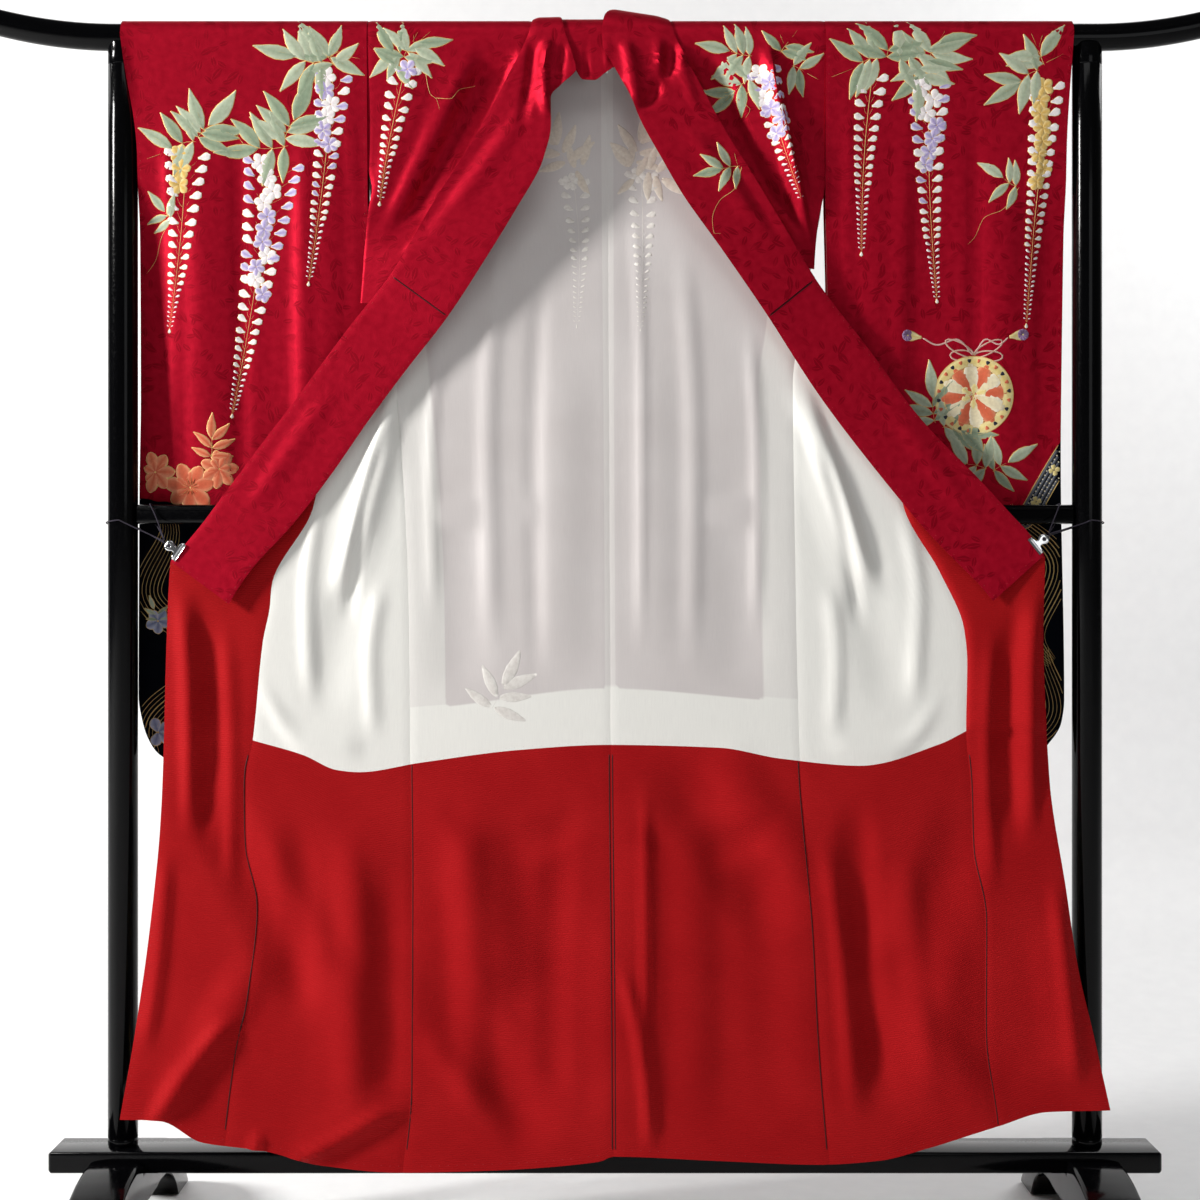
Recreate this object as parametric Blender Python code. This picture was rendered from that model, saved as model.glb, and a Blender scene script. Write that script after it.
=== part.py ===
# A lined furisode kimono hung open on a black lacquered kimono stand.
# Metres, +Z up. The viewer stands at -Y, so -X is the left of the display.
# The top rail passes through both sleeves. The sleeves hang behind the middle rail
# and the body hangs in front of it, with the fronts opened outwards like doors.
import math

import bmesh
import bpy
from mathutils import Vector

# Sewing and layers
SEAM_GAP = 0.0003
OUTER_SKIN = (0.00015, 0.00135)
LINING_SKIN = (-0.00115, -0.00015)
SLEEVE_SKIN = (-0.00115, 0.00135)
COLLAR_SKIN = (0.0, 0.0010)
OVERLAY_SKIN = (0.0013, 0.0023)
BACK_COLLAR_SKIN = (0.0, 0.0020)

# Stand
RAIL_HEIGHT = 1.696
RAIL_RADIUS = 0.019
RAIL_HALF_LENGTH = 0.930
RAIL_STRAIGHT = 0.690
RAIL_RISE = 0.744
RAIL_SIDES = 18
# Rail end as (distance from the tip, share of the radius)
RAIL_END = ((0.0, 0.55), (0.004, 0.88), (0.012, 1.0), (0.040, 1.0), (0.080, 1.0), (0.120, 1.0),
            (0.160, 1.0), (0.200, 1.0), (0.240, 1.0))
POST_X = 0.682
POST_RADIUS = 0.021
POST_SIDES = 24
POST_CLEAR = 0.0235
POST_HORN_DROP = 0.0097
POST_TOP_GAP = 0.0006
MID_RAIL_HEIGHT = 1.021
MID_RAIL_HALF_DEPTH = 0.0125
MID_RAIL_HALF_HEIGHT = 0.0135
MID_RAIL_HALF_LENGTH = 0.6605
MID_RAIL_CLEAR = 0.038
# Front half of the middle rail with its bead, as shares of (half depth, half height)
MID_RAIL_PROFILE = ((-0.60, -1.00), (-0.92, -0.89), (-1.00, -0.67), (-1.00, 0.37), (-0.86, 0.48),
                    (-0.86, 0.56), (-1.00, 0.67), (-0.92, 0.91), (-0.60, 1.00))
BAR_HALF_LENGTH = 0.778
BAR_HALF_DEPTH = 0.040
BAR_BOTTOM = 0.099
BAR_TOP = 0.129
BAR_EDGE = 0.004
FOOT_HALF_WIDTH = 0.0375
FOOT_EDGE = 0.006
# Half of a foot from its middle out, as (distance, top, underside)
FOOT_STATIONS = ((0.0, BAR_BOTTOM - SEAM_GAP, 0.052), (BAR_HALF_DEPTH + 0.0003, BAR_BOTTOM - SEAM_GAP, 0.054),
                 (BAR_HALF_DEPTH + 0.0009, 0.1160, 0.054), (0.075, 0.1145, 0.058), (0.115, 0.1090, 0.056),
                 (0.150, 0.1000, 0.046), (0.178, 0.0890, 0.030), (0.196, 0.0800, 0.012),
                 (0.206, 0.0740, 0.0), (0.235, 0.0520, 0.0), (0.260, 0.0260, 0.0), (0.272, 0.0130, 0.0),
                 (0.275, 0.0080, 0.0))

# Heights that the cloth is worked out from
WRAP_STEPS = 6
BODY_RADIUS = (RAIL_RADIUS + SEAM_GAP) / math.cos(math.pi / WRAP_STEPS / 2) - LINING_SKIN[0]
NECK_RADIUS = BODY_RADIUS + OUTER_SKIN[1] + SEAM_GAP
BAND_RADIUS = NECK_RADIUS + BACK_COLLAR_SKIN[1] + SEAM_GAP
LIFT_START = 0.850
BOUNDARY_LEVEL = 0.685
HEM_LEVEL = 0.115
NECK_CUT = 1.655
FRONT_TOP = 1.380
CUFF_BOTTOM = 1.470
SLEEVE_SEAM = 0.0030
SLEEVE_ROUND = 0.060
SLEEVE_EDGE_SHARE = 0.28
CUFF_BLEND = 0.090
COLLAR_LIFT = 0.006
COLLAR_SLOPE = 0.003
COLLAR_REAR_END = 1.655
NECK_CUT_TOP = 1.700

# Rows of the body panels, from the rail to the white and red seam, then to the hem
UPPER_LEVELS = (1.695, 1.620, 1.555, 1.491, 1.430, 1.370, 1.310, 1.250, 1.190, 1.110, 1.030,
                0.960, 0.900, 0.850, 0.770, BOUNDARY_LEVEL)
LOWER_LEVELS = (BOUNDARY_LEVEL, 0.610, 0.530, 0.450, 0.370, 0.295, 0.230, 0.170, HEM_LEVEL)
SLEEVE_LEVELS = (RAIL_HEIGHT, 1.640, 1.585, 1.535, 1.491, 1.440, 1.375, 1.310, 1.240, 1.170, 1.100,
                 1.040, 0.980, 0.910, 0.840, 0.775, 0.725, 0.695, 0.672, 0.656)
FRONT_FIRST_LEVEL = {"left": 1.370, "right": 1.310}
OKUMI_FIRST_LEVEL = {"left": 1.250, "right": 1.190}
SHOULDER_TIP = {"left": 1.318, "right": 1.366}
BACK_COLUMNS = 7
FRONT_COLUMNS = 6
OKUMI_COLUMNS = 4
SHOULDER_ROWS = 8
COLLAR_COLUMNS = 4
BACK_COLLAR_COLUMNS = 8
SLEEVE_COLUMNS = 8

# Hang of each layer, as (height, depth)
BACK_HANG = ((1.696, BODY_RADIUS), (1.491, 0.0185), (1.370, 0.0030), (1.310, -0.0010),
             (1.150, -0.0110), (1.040, -0.0182), (0.980, -0.0200), (0.600, -0.0360), (0.100, -0.0600))
RIM_HANG = ((1.400, -0.0112), (1.370, -0.0118), (1.310, -0.0125), (1.250, -0.0149), (1.200, -0.0155),
            (1.020, -0.0244), (0.960, -0.0280), (0.600, -0.0450), (0.100, -0.0750))
SHOULDER_SEAM_HANG = ((1.696, -BODY_RADIUS), (1.600, -0.0245), (1.450, -0.0258), (1.360, -0.0190),
                      (1.310, -0.0150))
SHOULDER_FOLD_HANG = ((1.696, -BODY_RADIUS), (1.491, -0.0105), (1.440, -0.0112), (1.310, -0.0140))
COLLAR_HANG = ((1.696, -BAND_RADIUS), (1.600, -0.0268), (1.450, -0.0280), (1.360, -0.0212),
               (1.310, -0.0171), (1.250, -0.0166), (1.200, -0.0173), (1.020, -0.0261),
               (0.960, -0.0297), (0.890, -0.0335))
SLEEVE_FRONT_HANG = ((1.696, -BODY_RADIUS), (1.491, -0.0105), (1.310, 0.0020), (1.040, 0.0176),
                     (0.980, 0.0185), (0.650, 0.0190))
SLEEVE_BACK_HANG = ((1.696, BODY_RADIUS), (1.491, 0.0185), (1.310, 0.0235), (1.040, 0.0300),
                    (0.650, 0.0310))

# Lines of the cut as hung, as (height, x) for each side
LINES = {
    "left": {
        "centre": ((1.720, 0.0028), (1.182, 0.0056), (0.648, 0.0084), (0.376, 0.0111), (0.100, 0.0125)),
        "side": ((1.720, -0.3346), (1.491, -0.3346), (1.397, -0.3222), (1.268, -0.3011), (1.140, -0.2890),
                 (0.908, -0.2766), (0.672, -0.2728), (0.482, -0.2706), (0.222, -0.2708), (0.100, -0.2814)),
        "shoulder_fold": ((1.720, -0.3346), (1.491, -0.3346), (1.457, -0.3260), (1.393, -0.3312),
                          (1.309, -0.3453)),
        "front_seam": ((1.370, -0.3345), (1.309, -0.3453), (1.286, -0.3588), (1.181, -0.3870),
                       (1.032, -0.4098), (0.921, -0.4678), (0.890, -0.4704), (0.841, -0.4798),
                       (0.705, -0.4927), (0.649, -0.5020), (0.563, -0.5012), (0.469, -0.4836),
                       (0.343, -0.4948), (0.280, -0.5094), (0.149, -0.5259), (0.100, -0.5310)),
        "rim": ((1.370, -0.3345), (1.309, -0.3453), (1.286, -0.3588), (1.210, -0.4150), (1.135, -0.4708),
                (1.066, -0.5221), (0.998, -0.5719), (0.956, -0.6096), (0.845, -0.6141), (0.649, -0.6178),
                (0.574, -0.6211), (0.442, -0.6333), (0.298, -0.6522), (0.182, -0.6713)),
        "collar_seam": ((1.720, -0.0996), (1.665, -0.1207), (1.608, -0.1500), (1.520, -0.2005),
                        (1.408, -0.2694), (1.358, -0.3007), (1.286, -0.3588)),
        "sleeve_in": ((1.720, -0.3346), (1.491, -0.3346), (0.650, -0.3320)),
        "sleeve_out": ((1.720, -0.6843), (1.667, -0.6772), (1.525, -0.6590), (1.430, -0.6585),
                       (1.184, -0.6600), (1.050, -0.6630), (0.764, -0.6645), (0.721, -0.6574),
                       (0.687, -0.6417), (0.665, -0.6100), (0.653, -0.5680)),
    },
    "right": {
        "centre": ((1.720, 0.0028), (1.182, 0.0056), (0.648, 0.0084), (0.376, 0.0111), (0.100, 0.0125)),
        "side": ((1.720, 0.3105), (1.491, 0.3105), (1.397, 0.2966), (1.282, 0.2758), (1.204, 0.2654),
                 (0.908, 0.2682), (0.676, 0.2729), (0.579, 0.2794), (0.447, 0.2914), (0.288, 0.2990),
                 (0.100, 0.3130)),
        "shoulder_fold": ((1.720, 0.3105), (1.491, 0.3105), (1.436, 0.3016), (1.393, 0.2965),
                          (1.360, 0.2945)),
        "front_seam": ((1.353, 0.2951), (1.255, 0.3700), (1.153, 0.3980), (1.028, 0.4210), (0.938, 0.4708),
                       (0.859, 0.5037), (0.815, 0.5076), (0.717, 0.5054), (0.649, 0.5104), (0.552, 0.5137),
                       (0.457, 0.5293), (0.298, 0.5275), (0.171, 0.5427), (0.100, 0.5480)),
        "rim": ((1.353, 0.2951), (1.255, 0.3700), (1.153, 0.4456), (1.068, 0.5264), (1.019, 0.5708),
                (0.963, 0.6167), (0.845, 0.6128), (0.649, 0.6206), (0.494, 0.6423), (0.398, 0.6549),
                (0.291, 0.6784), (0.194, 0.6991)),
        "collar_seam": ((1.720, 0.0870), (1.660, 0.1136), (1.587, 0.1528), (1.503, 0.2033),
                        (1.353, 0.2951), (1.255, 0.3700)),
        "sleeve_in": ((1.720, 0.3105), (1.491, 0.3105), (1.300, 0.3145), (0.650, 0.3145)),
        "sleeve_out": ((1.720, 0.6602), (1.525, 0.6503), (1.141, 0.6488), (0.757, 0.6545),
                       (0.725, 0.6503), (0.693, 0.6303), (0.665, 0.5980), (0.656, 0.5679)),
    },
}

# Hem and the seam of white and red lining, as (x, height)
HEM_LINE = ((-0.672, 0.181), (-0.618, 0.180), (-0.558, 0.149), (-0.474, 0.137), (-0.393, 0.116),
            (-0.281, 0.105), (-0.156, 0.108), (-0.008, 0.120), (0.011, 0.127), (0.160, 0.121),
            (0.297, 0.116), (0.379, 0.122), (0.442, 0.138), (0.542, 0.170), (0.612, 0.191),
            (0.700, 0.194))
BOUNDARY_LINE = ((-0.494, 0.704), (-0.422, 0.683), (-0.375, 0.662), (-0.344, 0.659), (-0.259, 0.672),
                 (-0.119, 0.690), (0.003, 0.697), (0.161, 0.693), (0.245, 0.678), (0.357, 0.668),
                 (0.470, 0.699), (0.506, 0.717))

# Collar bands below the rail, as (seam x, seam height, free x, free height)
COLLAR_ROWS = {
    "left": ((-0.1207, 1.6646, -0.0450, 1.6620), (-0.1333, 1.6406, -0.0407, 1.6430),
             (-0.1500, 1.6081, -0.0757, 1.6039), (-0.1752, 1.5617, -0.0757, 1.5640),
             (-0.2005, 1.5196, -0.0869, 1.5150), (-0.2369, 1.4635, -0.1270, 1.4420),
             (-0.2694, 1.4080, -0.1680, 1.3760), (-0.3007, 1.3581, -0.2195, 1.2982),
             (-0.3588, 1.2855, -0.2771, 1.2250), (-0.4150, 1.2095, -0.3317, 1.1516),
             (-0.4708, 1.1347, -0.3860, 1.0727), (-0.5221, 1.0656, -0.4402, 1.0023),
             (-0.5719, 0.9981, -0.4902, 0.9476), (-0.5954, 0.9700, -0.5140, 0.9140),
             (-0.6085, 0.9546, -0.5252, 0.8944)),
    "right": ((0.1024, 1.6830, -0.0020, 1.6740), (0.1136, 1.6604, 0.0112, 1.6500),
              (0.1318, 1.6265, 0.0337, 1.6095), (0.1528, 1.5870, 0.0505, 1.5700),
              (0.1766, 1.5449, 0.0780, 1.5200), (0.2033, 1.5028, 0.1080, 1.4680),
              (0.2480, 1.4290, 0.1650, 1.3880), (0.2951, 1.3525, 0.2279, 1.2982),
              (0.3700, 1.2545, 0.2996, 1.1883), (0.4456, 1.1530, 0.3749, 1.0882),
              (0.5264, 1.0684, 0.4527, 0.9939), (0.5708, 1.0192, 0.4972, 0.9476),
              (0.5929, 0.9953, 0.5210, 0.9238), (0.6155, 0.9630, 0.5420, 0.8986)),
}
OVERLAY_LAST_ROW = 7

# Collar over the rail, as (angle from the front in degrees, seam x, free x, rise of the free edge)
COLLAR_WRAP = {
    "left": ((180, -0.0960, -0.0640, 0.0), (135, -0.0975, -0.0640, 0.0), (90, -0.0996, -0.0632, 0.0005),
             (45, -0.1030, -0.0600, 0.0010), (0, -0.1070, -0.0560, 0.0010)),
    "right": ((180, 0.0880, 0.0330, 0.0020), (135, 0.0880, 0.0250, 0.0080), (90, 0.0880, 0.0140, 0.0120),
              (45, 0.0920, -0.0010, 0.0080), (0, 0.0970, -0.0050, 0.0030)),
}

# Back-neck run of the collar, lower edge in front, as (x, height)
NECK_DROP = ((-0.066, 1.668), (-0.045, 1.650), (-0.031, 1.631), (-0.015, 1.630), (0.000, 1.640),
             (0.012, 1.648), (0.030, 1.655))

# Largest folds of the opened body, as (x, height, x, height, half width, rise to the viewer)
BODY_FOLDS = (
    (-0.300, 1.180, -0.372, 0.880, 0.045, 0.0060), (0.285, 1.150, 0.372, 0.880, 0.045, 0.0055),
    (-0.340, 1.020, -0.400, 0.720, 0.050, -0.0040), (0.345, 1.020, 0.410, 0.730, 0.050, -0.0040),
    (-0.585, 0.930, -0.570, 0.640, 0.035, 0.0050), (0.600, 0.930, 0.590, 0.620, 0.035, 0.0050),
    (-0.545, 0.900, -0.540, 0.560, 0.035, -0.0050), (0.558, 0.900, 0.556, 0.540, 0.035, -0.0055),
    (-0.470, 0.420, -0.619, 0.170, 0.045, 0.0070), (-0.250, 0.230, -0.440, 0.125, 0.040, 0.0045),
    (-0.345, 0.620, -0.350, 0.150, 0.075, 0.0065), (0.353, 0.560, 0.400, 0.150, 0.080, -0.0080),
    (0.440, 0.520, 0.480, 0.190, 0.070, 0.0065), (0.620, 0.480, 0.655, 0.210, 0.050, 0.0060),
    (0.045, 0.640, 0.060, 0.130, 0.045, 0.0045), (-0.110, 0.600, -0.120, 0.120, 0.080, -0.0040),
    (0.170, 0.600, 0.180, 0.130, 0.085, -0.0045), (-0.205, 1.100, -0.200, 0.740, 0.060, -0.0035),
    (0.180, 1.150, 0.190, 0.740, 0.060, -0.0035), (-0.060, 1.300, -0.070, 0.760, 0.060, 0.0035),
    (0.060, 1.300, 0.075, 0.780, 0.050, 0.0030),
)
SHOULDER_FOLDS = (
    (0.222, 1.715, 0.2900, 1.385, 0.022, 0.0045),
    (-0.150, 1.690, -0.290, 1.410, 0.022, -0.0030), (0.130, 1.690, 0.262, 1.430, 0.022, -0.0030),
)
SLEEVE_FOLDS = (
    (-0.395, 1.640, -0.400, 0.760, 0.050, 0.0030), (-0.480, 1.640, -0.485, 0.720, 0.060, -0.0030),
    (-0.575, 1.640, -0.570, 0.720, 0.055, 0.0030), (0.380, 1.640, 0.385, 0.760, 0.050, 0.0030),
    (0.470, 1.640, 0.465, 0.720, 0.060, -0.0030), (0.570, 1.640, 0.575, 0.720, 0.055, 0.0030),
)

# Bulldog clips: grip point on the collar seam, as (x, height), and the direction out of the cloth
CLIPS = {
    "left": {"grip": (-0.5975, 0.9675), "out": (-0.83, 0.56)},
    "right": {"grip": (0.6030, 0.9760), "out": (0.78, 0.62)},
}
CLIP_CLOTH_FRONT = -0.0320
CLIP_CLOTH_REAR = -0.0238
CLIP_SKIN = (0.0, 0.0009)
# Half of the clip as (distance out of the cloth, half width, depth share from the front jaw)
CLIP_ROWS = ((-0.0040, 0.0135, 0.0), (-0.0010, 0.0135, 0.0), (0.0030, 0.0130, 0.0), (0.0045, 0.0045, 0.0),
             (0.0090, 0.0042, 0.0), (0.0110, 0.0062, 0.0), (0.0150, 0.0072, 0.0), (0.0190, 0.0062, 0.0),
             (0.0212, 0.0040, 0.25))
CLIP_TURN = (0.0222, 0.0036, 0.5)
CORD_RADIUS = 0.0009
CORD_CLEARANCE = 0.0005
TIE_STEP = 30
TIE_POST_TOP = 1.0125
TIE_POST_LOW = 1.0020
TIE_RAIL_X = 0.640
# Cord ends at a clip, moved from the middle of its handle
TIE_ENDS = {"post front": (0, -0.0025, 0.0015), "post rear": (0, 0.0015, -0.0010),
            "rail front": (0, -0.0027, 0.0050), "rail rear": (0, 0.0, 0.0030)}
# Cord loop over the middle rail, as (lean outwards, share of the half depth, share of the height)
TIE_RAIL_LOOP = ((0.0, -1.0, 0.93), (0.002, -0.85, 1.0), (0.003, 0.85, 1.0), (0.002, 1.0, 0.93),
                 (0.0, 1.0, 0.07), (-0.002, 0.85, 0.0))

COLORS = {
    "crimson satin": ((0.33, 0.006, 0.017), 0.38, 0.0),
    "white lining silk": ((0.78, 0.76, 0.72), 0.40, 0.0),
    "red lining crepe": ((0.42, 0.012, 0.014), 0.55, 0.0),
    "black lacquer": ((0.004, 0.004, 0.005), 0.10, 0.0),
    "chromed steel": ((0.80, 0.80, 0.82), 0.12, 1.0),
    "black elastic": ((0.012, 0.008, 0.016), 0.70, 0.0),
}


def clear_scene():
    for item in list(bpy.data.objects):
        bpy.data.objects.remove(item, do_unlink=True)


def material(name):
    found = bpy.data.materials.get(name)
    if found:
        return found
    color, roughness, metallic = COLORS[name]
    made = bpy.data.materials.new(name)
    made.use_nodes = True
    shader = made.node_tree.nodes["Principled BSDF"]
    shader.inputs["Base Color"].default_value = (*color, 1.0)
    shader.inputs["Roughness"].default_value = roughness
    shader.inputs["Metallic"].default_value = metallic
    return made


def curve_through(rows):
    """A smooth curve through (key, value) rows that never overshoots them."""
    rows = sorted(rows)
    keys = [row[0] for row in rows]
    values = [row[1] for row in rows]
    spans = [b - a for a, b in zip(keys, keys[1:])]
    rates = [(b - a) / span for a, b, span in zip(values, values[1:], spans)]
    slopes = [rates[0]]
    for before, after in zip(rates, rates[1:]):
        slopes.append(2 * before * after / (before + after) if before * after > 0 else 0.0)
    slopes.append(rates[-1])

    def value_at(key):
        if key <= keys[0]:
            return values[0]
        if key >= keys[-1]:
            return values[-1]
        i = 0
        while key > keys[i + 1]:
            i += 1
        t = (key - keys[i]) / spans[i]
        rise = spans[i] * t * (1 - t)
        blend = t * t * (3 - 2 * t)
        return (values[i] * (1 - blend) + values[i + 1] * blend
                + rise * (slopes[i] * (1 - t) - slopes[i + 1] * t))

    return value_at


def smooth(t):
    t = min(1.0, max(0.0, t))
    return t * t * (3 - 2 * t)


def mix(a, b, t):
    return a + (b - a) * t


line_at = {side: {name: curve_through(rows) for name, rows in lines.items()}
           for side, lines in LINES.items()}
back_hang = curve_through(BACK_HANG)
rim_hang = curve_through(RIM_HANG)
shoulder_seam_hang = curve_through(SHOULDER_SEAM_HANG)
shoulder_fold_hang = curve_through(SHOULDER_FOLD_HANG)
collar_hang = curve_through(COLLAR_HANG)
sleeve_front_hang = curve_through(SLEEVE_FRONT_HANG)
sleeve_back_hang = curve_through(SLEEVE_BACK_HANG)
hem_height = curve_through(HEM_LINE)
boundary_height = curve_through(BOUNDARY_LINE)
neck_drop = curve_through(NECK_DROP)


def fold_rise(folds, x, z):
    """How far the folds bring the cloth towards the viewer at a place."""
    rise = 0.0
    for x0, z0, x1, z1, half_width, height in folds:
        along_x, along_z = x1 - x0, z1 - z0
        length = math.hypot(along_x, along_z)
        t = ((x - x0) * along_x + (z - z0) * along_z) / length ** 2
        if not 0.0 < t < 1.0:
            continue
        distance = abs((x - x0) * along_z - (z - z0) * along_x) / length
        if distance < half_width:
            crown = 0.5 + 0.5 * math.cos(math.pi * distance / half_width)
            rise += height * crown * smooth(t / 0.3) * smooth((1 - t) / 0.25)
    return rise


def height_at(level, x):
    """Height of a row, bent to follow the lining seam and the hem."""
    if level >= LIFT_START:
        return level
    seam = boundary_height(x) - BOUNDARY_LEVEL
    if level >= BOUNDARY_LEVEL:
        return level + seam * (LIFT_START - level) / (LIFT_START - BOUNDARY_LEVEL)
    share = (BOUNDARY_LEVEL - level) / (BOUNDARY_LEVEL - HEM_LEVEL)
    return level + seam * (1 - share) + (hem_height(x) - HEM_LEVEL) * share


def body_depth(side, x, z):
    """Depth of the opened body: the back, then the front out to its rim."""
    seam = line_at[side]["side"](z)
    width = abs(line_at[side]["rim"](z) - seam)
    share = min(1.0, max(0.0, abs(x) - abs(seam)) / width) if z < FRONT_TOP else 0.0
    return mix(back_hang(z), rim_hang(z), share) - fold_rise(BODY_FOLDS, x, z)


TO_REAR = Vector((0, 1, 0))
TO_VIEWER = Vector((0, -1, 0))


def body_point(side, level, near, far, u):
    z = level
    for _ in range(4):
        x = mix(line_at[side][near](z), line_at[side][far](z), u)
        z = height_at(level, x)
    return Vector((x, body_depth(side, x, z), z)), TO_REAR


def trimmed(rows, amount=SEAM_GAP / 2):
    """The grid with its border drawn in by half a seam gap."""
    points = [[point.copy() for point, _ in row] for row in rows]
    for i, row in enumerate(rows):
        for end, neighbour in ((0, 1), (-1, -2)):
            step = row[neighbour][0] - row[end][0]
            points[i][end] += step.normalized() * amount
    for j in range(len(rows[0])):
        for end, neighbour in ((0, 1), (-1, -2)):
            step = rows[neighbour][j][0] - rows[end][j][0]
            points[end][j] += step.normalized() * amount
    return [[(points[i][j], rows[i][j][1]) for j in range(len(rows[i]))] for i in range(len(rows))]


def finish(name, mesh_data, material_name, flat_angle=35):
    """A named closed body from a bmesh, with its faces turned outwards."""
    bmesh.ops.recalc_face_normals(mesh_data, faces=mesh_data.faces)
    mesh = bpy.data.meshes.new(name)
    mesh_data.to_mesh(mesh)
    mesh_data.free()
    mesh.shade_smooth()
    mesh.set_sharp_from_angle(angle=math.radians(flat_angle))
    mesh.materials.append(material(material_name))
    item = bpy.data.objects.new(name, mesh)
    bpy.context.scene.collection.objects.link(item)
    return item


def wall(name, rows, skin, material_name):
    """Cloth of one thickness between two skins of a grid of (point, way out)."""
    low, high = skin
    rows = trimmed(rows)
    shell = bmesh.new()
    skins = []
    for distance in (high, low):
        skins.append([[shell.verts.new(point + out * distance) for point, out in row] for row in rows])
    last_row, last_column = len(rows) - 1, len(rows[0]) - 1
    for grid in skins:
        for i in range(last_row):
            for j in range(last_column):
                shell.faces.new((grid[i][j], grid[i + 1][j], grid[i + 1][j + 1], grid[i][j + 1]))
    outer, inner = skins
    for i in range(last_row):
        for j in (0, last_column):
            shell.faces.new((outer[i][j], outer[i + 1][j], inner[i + 1][j], inner[i][j]))
    for j in range(last_column):
        for i in (0, last_row):
            shell.faces.new((outer[i][j], outer[i][j + 1], inner[i][j + 1], inner[i][j]))
    return finish(name, shell, material_name)


def around_rail(x, degrees, radius):
    """A place round the top rail, from the front at 0 over the top to the rear at 180."""
    turn = math.radians(degrees)
    out = Vector((0, -math.cos(turn), math.sin(turn)))
    return Vector((x, 0, RAIL_HEIGHT)) + out * radius, out


def body_rows(side, levels, near, far, columns):
    return [[body_point(side, level, near, far, j / columns) for j in range(columns + 1)]
            for level in levels]


def neck_edge(side, z):
    """Inner edge of the back panel: the centre seam, then the neck cut out to the collar."""
    centre = line_at[side]["centre"](z)
    neck = line_at[side]["collar_seam"](RAIL_HEIGHT + RAIL_RADIUS)
    share = smooth((z - NECK_CUT) / (NECK_CUT_TOP - NECK_CUT))
    return mix(centre, neck, share)


def upper_back_rows(side, last_angle):
    """Back panel from the white and red seam up, and over the rail to the given angle."""
    rows = []
    for level in reversed(UPPER_LEVELS):
        row = []
        for j in range(BACK_COLUMNS + 1):
            u = j / BACK_COLUMNS
            z = level
            for _ in range(4):
                near = neck_edge(side, z)
                x = mix(near, line_at[side]["side"](z), u)
                z = height_at(level, x)
            row.append((Vector((x, body_depth(side, x, z), z)), TO_REAR))
        rows.append(row)
    steps = WRAP_STEPS if last_angle == 0 else WRAP_STEPS - 2
    near = line_at[side]["collar_seam"](RAIL_HEIGHT + RAIL_RADIUS)
    far = line_at[side]["side"](RAIL_HEIGHT)
    for k in range(1, steps + 1):
        degrees = 180 - 180 * k / WRAP_STEPS
        rows.append([around_rail(mix(near, far, j / BACK_COLUMNS), degrees, BODY_RADIUS)
                     for j in range(BACK_COLUMNS + 1)])
    return rows


def shoulder_rows(side):
    """Front of the shoulder: the body bolt from the rail down to the tip of its fold."""
    fold = line_at[side]["shoulder_fold"]
    seam = line_at[side]["collar_seam"]
    rows = []
    for i in range(1, SHOULDER_ROWS + 1):
        z = mix(RAIL_HEIGHT, SHOULDER_TIP[side], i / SHOULDER_ROWS)
        row = []
        for j in range(BACK_COLUMNS + 1):
            u = j / BACK_COLUMNS
            x = mix(seam(z), fold(z), u)
            y = mix(shoulder_seam_hang(z), shoulder_fold_hang(z), u)
            edge = smooth(u / 0.2) * smooth((1 - u) / 0.2)
            row.append((Vector((x, y - fold_rise(SHOULDER_FOLDS, x, z) * edge, z)), TO_VIEWER))
        rows.append(row)
    return rows


def lower_rows(side, near, far, columns):
    return body_rows(side, LOWER_LEVELS, near, far, columns)


def make_back(side):
    upper = upper_back_rows(side, 0)
    lower = list(reversed(lower_rows(side, "centre", "side", BACK_COLUMNS)))
    wall("back_" + side, lower[:-1] + upper + shoulder_rows(side), OUTER_SKIN, "crimson satin")
    wall("lining_back_" + side, upper_back_rows(side, 60), LINING_SKIN, "white lining silk")
    wall("hem_back_" + side, lower, LINING_SKIN, "red lining crepe")


def make_front(side):
    first = UPPER_LEVELS.index(FRONT_FIRST_LEVEL[side])
    upper = body_rows(side, UPPER_LEVELS[first:], "side", "front_seam", FRONT_COLUMNS)
    lower = lower_rows(side, "side", "front_seam", FRONT_COLUMNS)
    wall("front_" + side, upper + lower[1:], OUTER_SKIN, "crimson satin")
    wall("lining_front_" + side, upper, LINING_SKIN, "white lining silk")
    wall("hem_front_" + side, lower, LINING_SKIN, "red lining crepe")


def make_okumi(side):
    first = UPPER_LEVELS.index(OKUMI_FIRST_LEVEL[side])
    upper = body_rows(side, UPPER_LEVELS[first:], "front_seam", "rim", OKUMI_COLUMNS)
    lower = lower_rows(side, "front_seam", "rim", OKUMI_COLUMNS)
    rows = upper + lower[1:]
    wall("okumi_" + side, rows, OUTER_SKIN, "crimson satin")
    wall("hem_okumi_" + side, rows, LINING_SKIN, "red lining crepe")


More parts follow.
